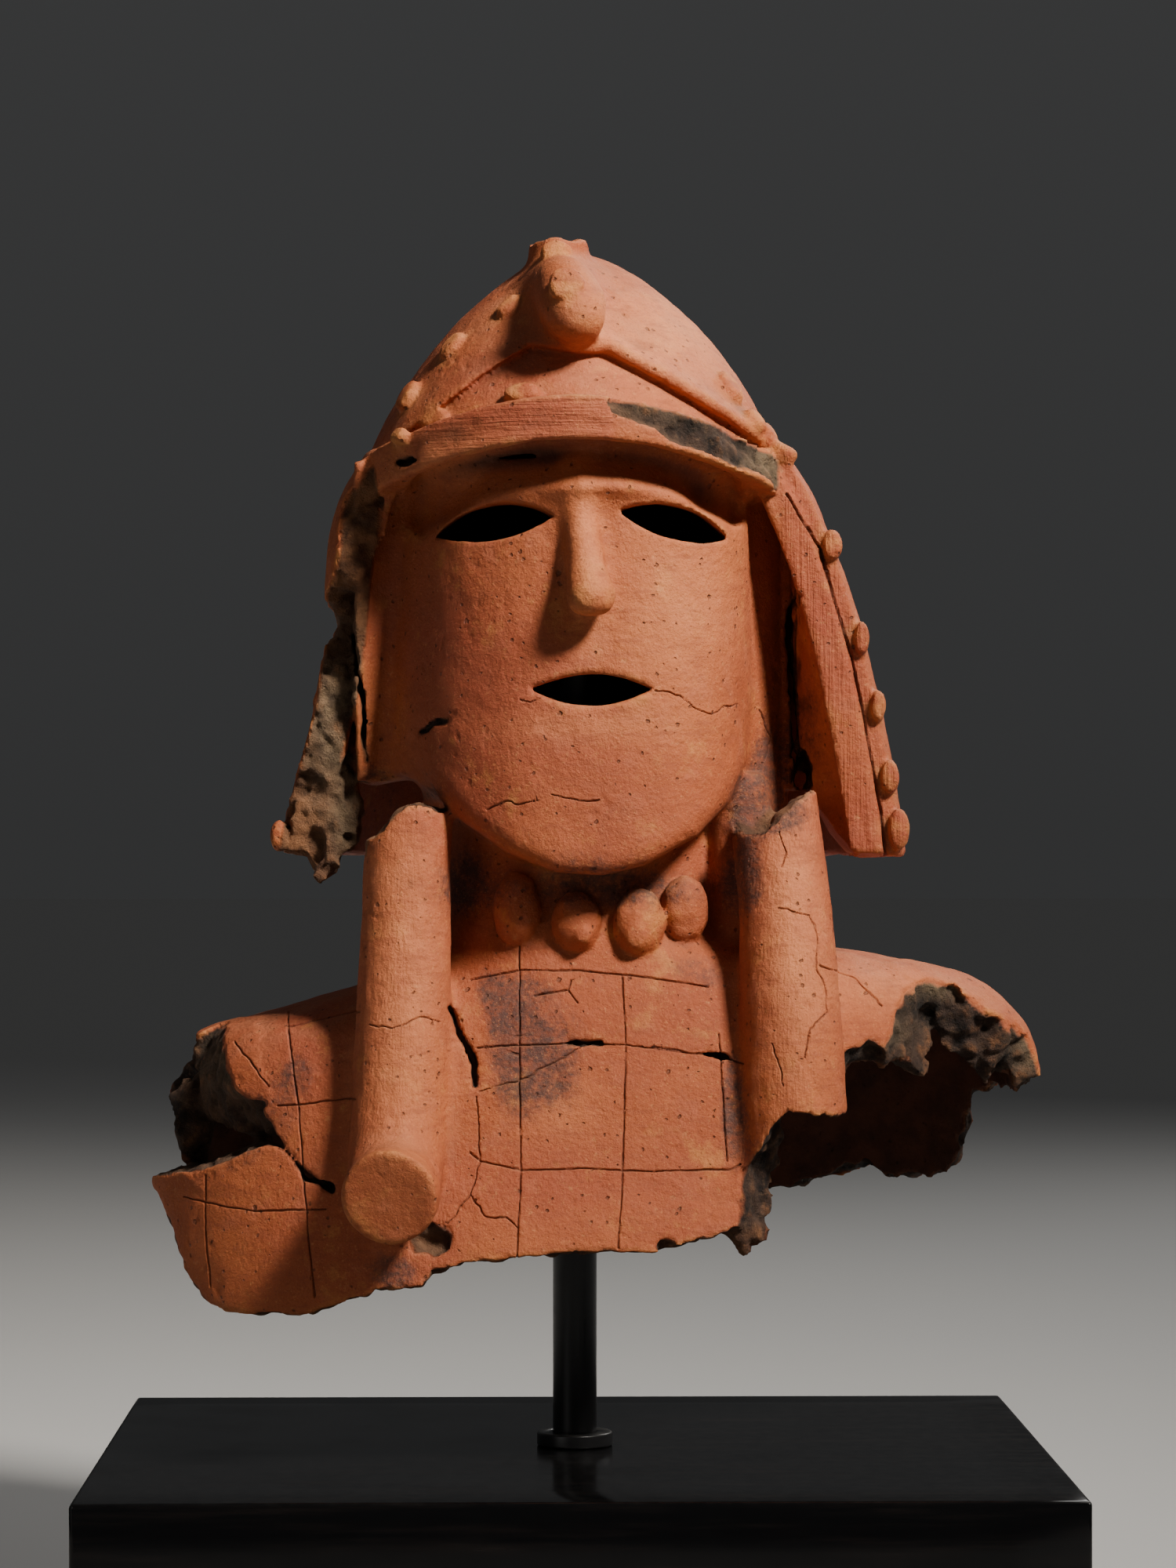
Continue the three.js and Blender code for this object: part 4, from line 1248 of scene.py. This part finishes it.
# %% Node helpers
class Recipe:
    """Adds nodes to a tree. Numbers, colours and other nodes' outputs can all be inputs."""

    def __init__(self, tree):
        self.tree = tree

    def node(self, kind, inputs=None, output=0, **settings):
        made = self.tree.nodes.new(kind)
        for key, value in settings.items():
            setattr(made, key, value)
        for key, value in (inputs or {}).items():
            socket = made.inputs[key]
            if isinstance(value, bpy.types.NodeSocket):
                self.tree.links.new(value, socket)
            else:
                socket.default_value = value
        return made.outputs[output]

    def math(self, operation, a, b=0.0, clamp=False):
        return self.node("ShaderNodeMath", {0: a, 1: b}, operation=operation, use_clamp=clamp)

    def times(self, a, b, clamp=False):
        return self.math("MULTIPLY", a, b, clamp)

    def plus(self, a, b, clamp=False):
        return self.math("ADD", a, b, clamp)

    def mix(self, share, a, b):
        return self.node("ShaderNodeMix", {0: share, 6: a, 7: b}, output=2, data_type="RGBA")

    def over(self, colour, coat, where, amount):
        """Lays a coat over a colour, where a mask says and as thickly as the amount says."""
        return self.mix(self.times(where, amount), colour, coat)

    def bump(self, height, strength, distance):
        inputs = {"Height": height, "Strength": strength, "Distance": distance}
        return self.node("ShaderNodeBump", inputs, output="Normal")

    def ramp(self, value, low, high):
        return self.node(
            "ShaderNodeMapRange", {0: value, 1: low, 2: high}, interpolation_type="SMOOTHSTEP"
        )

    def noise(self, where, scale, detail=4.0, rough=0.55, seed=0.0):
        return self.node(
            "ShaderNodeTexNoise",
            {"Vector": where, "W": seed, "Scale": scale, "Detail": detail, "Roughness": rough},
            noise_dimensions="4D",
        )

    def mask(self, name):
        return self.node("ShaderNodeAttribute", output="Fac", attribute_name=name)


def new_group(name, inputs, outputs):
    tree = bpy.data.node_groups.new(name, "ShaderNodeTree")
    for label, kind, value in inputs:
        socket = tree.interface.new_socket(label, in_out="INPUT", socket_type="NodeSocket" + kind)
        if value is not None:
            socket.default_value = value
    for label, kind in outputs:
        tree.interface.new_socket(label, in_out="OUTPUT", socket_type="NodeSocket" + kind)
    start = tree.nodes.new("NodeGroupInput")
    end = tree.nodes.new("NodeGroupOutput")
    return tree, Recipe(tree), start.outputs, end.inputs


# %% Two more helpers
def principled(name):
    material = bpy.data.materials.new(name)
    material.use_nodes = True
    tree = material.node_tree
    shader = tree.nodes["Principled BSDF"]
    return material, tree, shader, Recipe(tree)


def group_node(recipe, tree, inputs, output):
    made = recipe.tree.nodes.new("ShaderNodeGroup")
    made.node_tree = tree
    for key, value in inputs.items():
        if isinstance(value, bpy.types.NodeSocket):
            recipe.tree.links.new(value, made.inputs[key])
        else:
            made.inputs[key].default_value = value
    return made.outputs[output]


# %% Group: settled dust, used on the clay, the steel and the lacquer
dust, r, given, out = new_group(
    "settled_dust",
    [("Colour", "Color", (0.5, 0.5, 0.5, 1)), ("Dust colour", "Color", (0.5, 0.45, 0.38, 1)),
     ("Amount", "Float", 0.2), ("Patch size", "Float", 40.0)],
    [("Colour", "Color"), ("Dust", "Float")],
)
where = r.node("ShaderNodeTexCoord", output="Object")
normal = r.node("ShaderNodeNewGeometry", output="Normal")
upward = r.ramp(r.node("ShaderNodeSeparateXYZ", {0: normal}, output="Z"), 0.2, 1.0)
patches = r.ramp(r.noise(where, given["Patch size"], 5, 0.6), 0.35, 0.7)
share = r.times(r.times(upward, patches), given["Amount"], clamp=True)
dust.links.new(r.mix(share, given["Colour"], given["Dust colour"]), out["Colour"])
dust.links.new(share, out["Dust"])

# %% Group: fine tooth, the small unevenness of a hand-made or painted surface
tooth, r, given, out = new_group(
    "fine_tooth",
    [("Grain size", "Float", 900.0), ("Wave size", "Float", 90.0), ("Wave share", "Float", 0.5)],
    [("Height", "Float")],
)
where = r.node("ShaderNodeTexCoord", output="Object")
grains = r.noise(where, given["Grain size"], 4, 0.6)
wave = r.noise(where, given["Wave size"], 3, 0.5)
blended = r.node("ShaderNodeMix", {0: given["Wave share"], 2: grains, 3: wave}, data_type="FLOAT")
tooth.links.new(blended, out["Height"])

# %% Group: combed strokes, dragged up and down or across
comb, r, given, out = new_group(
    "combed_strokes", [("Up", "Float", 0.0), ("Across", "Float", 0.0)], [("Height", "Float")]
)
where = r.node("ShaderNodeTexCoord", output="Object")
long_up = {"Vector": where, "Rotation": (0, 0.27, 0), "Scale": (1, 1, 0.035)}
slanted = r.node("ShaderNodeMapping", long_up)
upright = r.noise(slanted, 1300, 3, 0.5)
flat = r.node("ShaderNodeMapping", {"Vector": where, "Scale": (0.05, 0.05, 1)})
level = r.noise(flat, 1300, 3, 0.5)
strokes = r.plus(r.times(upright, given["Up"]), r.times(level, given["Across"]))
comb.links.new(strokes, out["Height"])

# %% Group: pores, small pits where a grain of sand or a straw burnt out
pores, r, given, out = new_group(
    "pores",
    [("Spacing", "Float", 250.0), ("Width", "Float", 0.14), ("Share", "Float", 0.4)],
    [("Pit", "Float")],
)
where = r.node("ShaderNodeTexCoord", output="Object")
bend = r.noise(where, 700, 2, 0.5)
bend = r.node("ShaderNodeCombineXYZ", {0: bend, 1: bend, 2: bend})
bend = r.node("ShaderNodeVectorMath", {0: bend, 3: 0.0014}, operation="SCALE")
bent = r.node("ShaderNodeVectorMath", {0: where, 1: bend}, operation="ADD")
cell = r.tree.nodes.new("ShaderNodeTexVoronoi")
r.tree.links.new(bent, cell.inputs["Vector"])
r.tree.links.new(given["Spacing"], cell.inputs["Scale"])
cell_pick = r.node("ShaderNodeSeparateColor", {0: cell.outputs["Color"]}, output=0)
wide = r.times(given["Width"], r.plus(cell_pick, 0.6))
pit = r.ramp(cell.outputs["Distance"], wide, r.times(wide, 0.5))
pores.links.new(r.times(pit, r.math("LESS_THAN", cell_pick, given["Share"])), out["Pit"])
print("node groups:", [group.name for group in bpy.data.node_groups])

# %% [markdown]
# ### Fired clay
# Orange earthenware, redder where an iron slip was brushed on, yellow where edges are rubbed, grey
# and black where smoke reached it, and grey, buff or nearly black in the unoxidised broken core.
# Painted light and shade are laid in too: paler clay where the light falls strongest, and dark
# paint under the brim, on the neck, beside the face, in hollows, in cracks and on the inside.
# The colours are laid over each other in the order in which the real surface got them.

# %% Clay colours
ORANGE, DEEP_ORANGE = (0.44, 0.112, 0.034, 1), (0.36, 0.080, 0.026, 1)
RED, PINK = (0.33, 0.064, 0.029, 1), (0.45, 0.130, 0.068, 1)
OCHRE, PALE_AND_LIT = (0.60, 0.24, 0.066, 1), (0.76, 0.262, 0.100, 1)
DARK_SPECK, LIGHT_SPECK = (0.24, 0.06, 0.025, 1), (0.62, 0.28, 0.11, 1)
DARK_SAND, LIGHT_SAND = (0.15, 0.040, 0.018, 1), (0.68, 0.28, 0.10, 1)
WIPED_SLIP, SOOT_AND_SHADE = (0.29, 0.068, 0.028, 1), (0.045, 0.030, 0.028, 1)
PIT_DARK = (0.09, 0.032, 0.018, 1)
HOLLOW_SHADE = (0.085, 0.035, 0.02, 1)
CRACK_DIRT_AND_SHADE = (0.06, 0.026, 0.017, 1)
print("darkest and palest clay:", SOOT_AND_SHADE[:3], PALE_AND_LIT[:3])

# %% Clay skin: mottled orange under slip, ochre and specks
fired_clay, tree, shader, r = principled("fired_clay")
where = r.node("ShaderNodeTexCoord", output="Object")
large = r.ramp(r.noise(where, 22, 4, 0.55, 1), 0.35, 0.65)
middle = r.noise(where, 110, 5, 0.6, 2)
small = r.noise(where, 520, 4, 0.65, 3)
ochre_patches = r.ramp(r.noise(where, 70, 6, 0.7, 4), 0.55, 0.7)
colour = r.mix(large, ORANGE, DEEP_ORANGE)
colour = r.over(colour, RED, r.mask("slip"), 0.75)
colour = r.over(colour, PINK, r.ramp(middle, 0.5, 0.72), 0.45)
colour = r.over(colour, OCHRE, ochre_patches, 0.55)
# Painted light, partly paler clay: the pale coat brightens the lit places.
colour = r.over(colour, PALE_AND_LIT, r.mask("pale_and_painted_light"), r.plus(r.times(middle, 1.1), 0.1))
rubbed_edge = r.times(r.mask("worn"), r.ramp(middle, 0.35, 0.6))
colour = r.over(colour, OCHRE, rubbed_edge, 0.85)
colour = r.over(colour, OCHRE, r.mask("pellets"), r.ramp(middle, 0.40, 0.62))
colour = r.over(colour, DARK_SPECK, r.ramp(small, 0.56, 0.74), 0.4)
colour = r.over(colour, LIGHT_SPECK, r.ramp(small, 0.42, 0.3), 0.35)

# %% Smoke and painted shade, sand and wiped slip
ragged = r.plus(r.times(small, 1.1), 0.4)
wisps = r.times(r.noise(where, 130, 8, 0.85, 5), ragged)
# The soot colour lays both the smoke clouds and the painted shade.
smoke_and_shade_cloud = r.ramp(r.times(r.mask("smoke_and_shade"), wisps), 0.22, 0.56)
colour = r.over(colour, SOOT_AND_SHADE, smoke_and_shade_cloud, 0.85)
sand = r.noise(where, 1500, 3, 0.6, 6)
colour = r.over(colour, DARK_SAND, r.ramp(sand, 0.54, 0.70), 0.45)
colour = r.over(colour, LIGHT_SAND, r.ramp(sand, 0.42, 0.30), 0.42)
wiping_way = r.node("ShaderNodeMapping", {"Vector": where, "Scale": (0.22, 0.22, 1)})
wiped = r.noise(wiping_way, 420, 4, 0.65, 12)
colour = r.over(colour, WIPED_SLIP, r.ramp(wiped, 0.48, 0.68), 0.5)

# %% Pits, painted shade in the hollows, and cracks
fine_pits = group_node(r, pores, {"Spacing": 280.0, "Width": 0.16, "Share": 0.7}, "Pit")
wide_pits = group_node(r, pores, {"Spacing": 110.0, "Width": 0.11, "Share": 0.5}, "Pit")
pits = r.math("MAXIMUM", fine_pits, wide_pits)
# The pits are darker.
colour = r.over(colour, PIT_DARK, pits, 0.6)
# Painted shade: the clay is darkened in its hollows.
colour = r.over(colour, HOLLOW_SHADE, r.times(r.mask("hollow"), r.ramp(middle, 0.3, 0.6)), 0.6)
# The lines and cracks are darkened: dirt in them, and painted shade in the groove.
colour = r.over(colour, CRACK_DIRT_AND_SHADE, r.mask("crack"), 0.62)

# %% Broken core: nearly black, brown where the fire reached it, buff where it is ashen
BLACK_CORE, BROWN_CORE = (0.010, 0.007, 0.006, 1), (0.062, 0.034, 0.023, 1)
DARK_EARTH, LIGHT_EARTH = (0.13, 0.052, 0.024, 1), (0.33, 0.14, 0.058, 1)
DARK_ASH, LIGHT_ASH = (0.10, 0.070, 0.045, 1), (0.27, 0.185, 0.105, 1)
core_noise = r.noise(where, 85, 6, 0.7, 7)
core = r.mix(r.ramp(core_noise, 0.38, 0.56), BLACK_CORE, BROWN_CORE)
earth = r.mix(r.ramp(core_noise, 0.40, 0.62), DARK_EARTH, LIGHT_EARTH)
ash = r.mix(r.ramp(r.noise(where, 150, 6, 0.75, 8), 0.35, 0.65), DARK_ASH, LIGHT_ASH)
core = r.over(core, earth, r.mask("baked"), 0.85)
core = r.over(core, ash, r.mask("ashen"), 0.85)
grit_light = r.ramp(r.noise(where, 480, 4, 0.7, 9), 0.5, 0.68)
core = r.over(core, (0.22, 0.13, 0.07, 1), grit_light, 0.35)
rubbed_core = r.times(r.mask("worn"), r.ramp(r.noise(where, 200, 5, 0.7, 9), 0.42, 0.6))
core = r.over(core, (0.36, 0.15, 0.06, 1), rubbed_core, 0.5)
# Painted shade in the hollows of the broken core.
core = r.over(core, (0.012, 0.008, 0.007, 1), r.mask("hollow"), 0.3)
colour = r.mix(r.mask("broken"), colour, core)

# %% Inside painted dark as shade, and the dust on top
# Painted shade: the inner walls, seen through the eyes, the mouth and the gaps, are painted nearly
# black.
inside_painted_shade = r.mix(r.ramp(middle, 0.35, 0.65), (0.05, 0.022, 0.014, 1), (0.13, 0.045, 0.024, 1))
bare_inside = r.times(r.mask("inside"), r.math("SUBTRACT", 1.0, r.mask("broken")))
colour = r.over(colour, inside_painted_shade, bare_inside, 0.9)
clay_dust = {
    "Colour": colour, "Dust colour": (0.50, 0.26, 0.14, 1), "Amount": 0.25, "Patch size": 60.0,
}
tree.links.new(group_node(r, dust, clay_dust, "Colour"), shader.inputs["Base Color"])

# %% Clay roughness and fine relief
sheen = r.plus(r.times(middle, 0.22), r.times(r.mask("broken"), 0.2))
tree.links.new(r.plus(sheen, 0.56, clamp=True), shader.inputs["Roughness"])
shader.inputs["Specular IOR Level"].default_value = 0.35
clay_tooth = {"Grain size": 850.0, "Wave size": 260.0, "Wave share": 0.5}
clay_strokes = {"Up": r.mask("strokes_up"), "Across": r.mask("strokes_across")}
grit = r.times(r.noise(where, 420, 5, 0.8, 10), r.plus(r.times(r.mask("broken"), 3.0), 0.7))
relief = r.plus(group_node(r, tooth, clay_tooth, "Height"), grit)
relief = r.plus(relief, r.times(group_node(r, comb, clay_strokes, "Height"), 0.9))
relief = r.math("SUBTRACT", relief, r.times(pits, 0.8))
tree.links.new(r.bump(relief, 0.85, 0.0010), shader.inputs["Normal"])
for piece in clay_pieces:
    piece.data.materials.append(fired_clay)
print("fired clay:", len(tree.nodes), "nodes on", len(clay_pieces), "pieces")

# %% [markdown]
# ## The mount
# The rod and its collar are turned steel, painted satin black. The block is lacquered: a smooth
# black body with a hard clear gloss that shows faint streaks of the brush.


# %% Turned pieces
def turned(name, profile, sides=96):
    """Spins a profile of (radius, height) points round the upright axis."""
    verts, polys = [], []
    for radius, level in profile:
        for i in range(sides):
            angle = 2 * math.pi * i / sides
            verts.append((radius * math.cos(angle), radius * math.sin(angle), level))
    rows = len(profile)
    for j in range(rows):
        for i in range(sides):
            k, m = (i + 1) % sides, (j + 1) % rows
            polys.append((j * sides + i, j * sides + k, m * sides + k, m * sides + i))
    mesh = bpy.data.meshes.new(name)
    mesh.from_pydata([tuple(c * MM for c in v) for v in verts], [], polys)
    mesh.shade_smooth()
    piece = bpy.data.objects.new(name, mesh)
    bpy.context.scene.collection.objects.link(piece)
    return piece


def rounded(radius_in, radius_out, low, high, soft, steps=6):
    """A profile with its two outer corners rounded, closed down the inside."""
    profile = [(radius_in, low), (radius_out - soft, low)]
    middle = radius_out - soft
    for level, start in ((low + soft, -90), (high - soft, 0)):
        for i in range(steps + 1):
            angle = math.radians(start + 90 * i / steps)
            profile.append((middle + soft * math.cos(angle), level + soft * math.sin(angle)))
    return profile + [(radius_in, high)]


rod_low, rod_high = (np.array(v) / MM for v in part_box("mount_rod"))
collar_low, collar_high = (np.array(v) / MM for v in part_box("rod_collar"))
rod_radius = (rod_high[0] - rod_low[0]) / 2
steel_rod = turned("steel_rod", rounded(0.01, rod_radius, rod_low[2], rod_high[2], 0.8))
steel_collar = turned(
    "steel_collar",
    rounded(rod_radius + 0.2, collar_high[0], collar_low[2] - 0.3, collar_high[2], 0.7),
)
print("rod radius in mm:", round(float(rod_radius), 2))

# %% The block, with softened edges
block_low, block_high = (Vector(v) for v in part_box("mount_block"))
block_mesh = bpy.data.meshes.new("lacquer_block")
cut_x = np.linspace(block_low.x, block_high.x, 13)
cut_y = np.linspace(block_low.y, block_high.y, 11)
cut_z = np.linspace(block_low.z, block_high.z, 5)
block_points, block_faces, index = [], [], {}


def block_point(x, y, z):
    key = (round(x, 6), round(y, 6), round(z, 6))
    if key not in index:
        index[key] = len(block_points)
        block_points.append(key)
    return index[key]


def block_side(us, vs, place):
    for u0, u1 in zip(us[:-1], us[1:]):
        for v0, v1 in zip(vs[:-1], vs[1:]):
            corners = ((u0, v0), (u1, v0), (u1, v1), (u0, v1))
            block_faces.append([block_point(*place(u, v)) for u, v in corners])


block_side(cut_x, cut_y, lambda u, v: (u, v, block_high.z))
block_side(cut_y, cut_x, lambda u, v: (v, u, block_low.z))
block_side(cut_x, cut_z, lambda u, v: (u, block_low.y, v))
block_side(cut_z, cut_x, lambda u, v: (v, block_high.y, u))
block_side(cut_y, cut_z, lambda u, v: (block_high.x, u, v))
block_side(cut_z, cut_y, lambda u, v: (block_low.x, v, u))
block_mesh.from_pydata(block_points, [], block_faces)
lacquer_block = bpy.data.objects.new("lacquer_block", block_mesh)
bpy.context.scene.collection.objects.link(lacquer_block)
ease = lacquer_block.modifiers.new("eased_edges", "BEVEL")
ease.width = 0.0014
ease.segments = 4
ease.limit_method = "ANGLE"
ease.harden_normals = True
depsgraph = bpy.context.evaluated_depsgraph_get()
eased = bpy.data.meshes.new_from_object(lacquer_block.evaluated_get(depsgraph))
lacquer_block.modifiers.clear()
lacquer_block.data = eased
eased.shade_smooth()
print("block faces:", len(eased.polygons))

# %% Satin black steel
black_steel, tree, shader, r = principled("black_steel")
where = r.node("ShaderNodeTexCoord", output="Object")
ring_way = r.node("ShaderNodeMapping", {"Vector": where, "Scale": (0.2, 0.2, 1)})
rings = r.noise(ring_way, 900, 4, 0.6, 1)
spots_of_wear = r.ramp(r.noise(where, 260, 5, 0.7, 2), 0.58, 0.72)
colour = r.mix(r.times(rings, 0.4), (0.010, 0.010, 0.011, 1), (0.028, 0.027, 0.027, 1))
colour = r.over(colour, (0.06, 0.055, 0.05, 1), spots_of_wear, 0.3)
steel_dust = {
    "Colour": colour, "Dust colour": (0.16, 0.15, 0.13, 1), "Amount": 0.4, "Patch size": 160.0,
}
tree.links.new(group_node(r, dust, steel_dust, "Colour"), shader.inputs["Base Color"])
tree.links.new(r.plus(r.times(rings, 0.2), 0.24), shader.inputs["Roughness"])
shader.inputs["Metallic"].default_value = 0.0
steel_tooth = {"Grain size": 1400.0, "Wave size": 120.0, "Wave share": 0.3}
relief = group_node(r, tooth, steel_tooth, "Height")
tree.links.new(r.bump(relief, 0.25, 0.0002), shader.inputs["Normal"])
for piece in (steel_rod, steel_collar):
    piece.data.materials.append(black_steel)
print("black steel:", len(tree.nodes), "nodes")

# %% Glossy black lacquer
black_lacquer, tree, shader, r = principled("black_lacquer")
where = r.node("ShaderNodeTexCoord", output="Object")
streak_way = r.node("ShaderNodeMapping", {"Vector": where, "Scale": (0.06, 1, 1)})
streaks = r.noise(streak_way, 260, 4, 0.6, 1)
haze = r.ramp(r.noise(where, 30, 5, 0.6, 2), 0.4, 0.7)
colour = r.mix(r.ramp(streaks, 0.45, 0.8), (0.003, 0.003, 0.0033, 1), (0.009, 0.007, 0.0065, 1))
block_dust = {
    "Colour": colour, "Dust colour": (0.05, 0.047, 0.044, 1), "Amount": 0.08, "Patch size": 220.0,
}
tree.links.new(group_node(r, dust, block_dust, "Colour"), shader.inputs["Base Color"])
gloss = r.plus(r.times(haze, 0.08), r.times(streaks, 0.1))
tree.links.new(r.plus(gloss, 0.08), shader.inputs["Roughness"])
shader.inputs["Specular IOR Level"].default_value = 0.22
block_tooth = {"Grain size": 700.0, "Wave size": 40.0, "Wave share": 0.8}
relief = group_node(r, tooth, block_tooth, "Height")
tree.links.new(r.bump(relief, 0.12, 0.0003), shader.inputs["Normal"])
lacquer_block.data.materials.append(black_lacquer)
print("black lacquer:", len(tree.nodes), "nodes")

# %% [markdown]
# ## Riding on the root
# Every piece is parented to the root body, and the part of the construction that it takes the place
# of is hidden. Nothing here moves, so all of them ride on the root.

# %% Riders
for piece in clay_pieces:
    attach(piece, "root")
    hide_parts("haniwa_figure")
for piece, node, slot in (
    (steel_rod, "mount_rod", "black_steel"), (steel_collar, "rod_collar", "black_steel"),
    (lacquer_block, "mount_block", "black_lacquer"),
):
    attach(piece, "root")
    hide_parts(node)
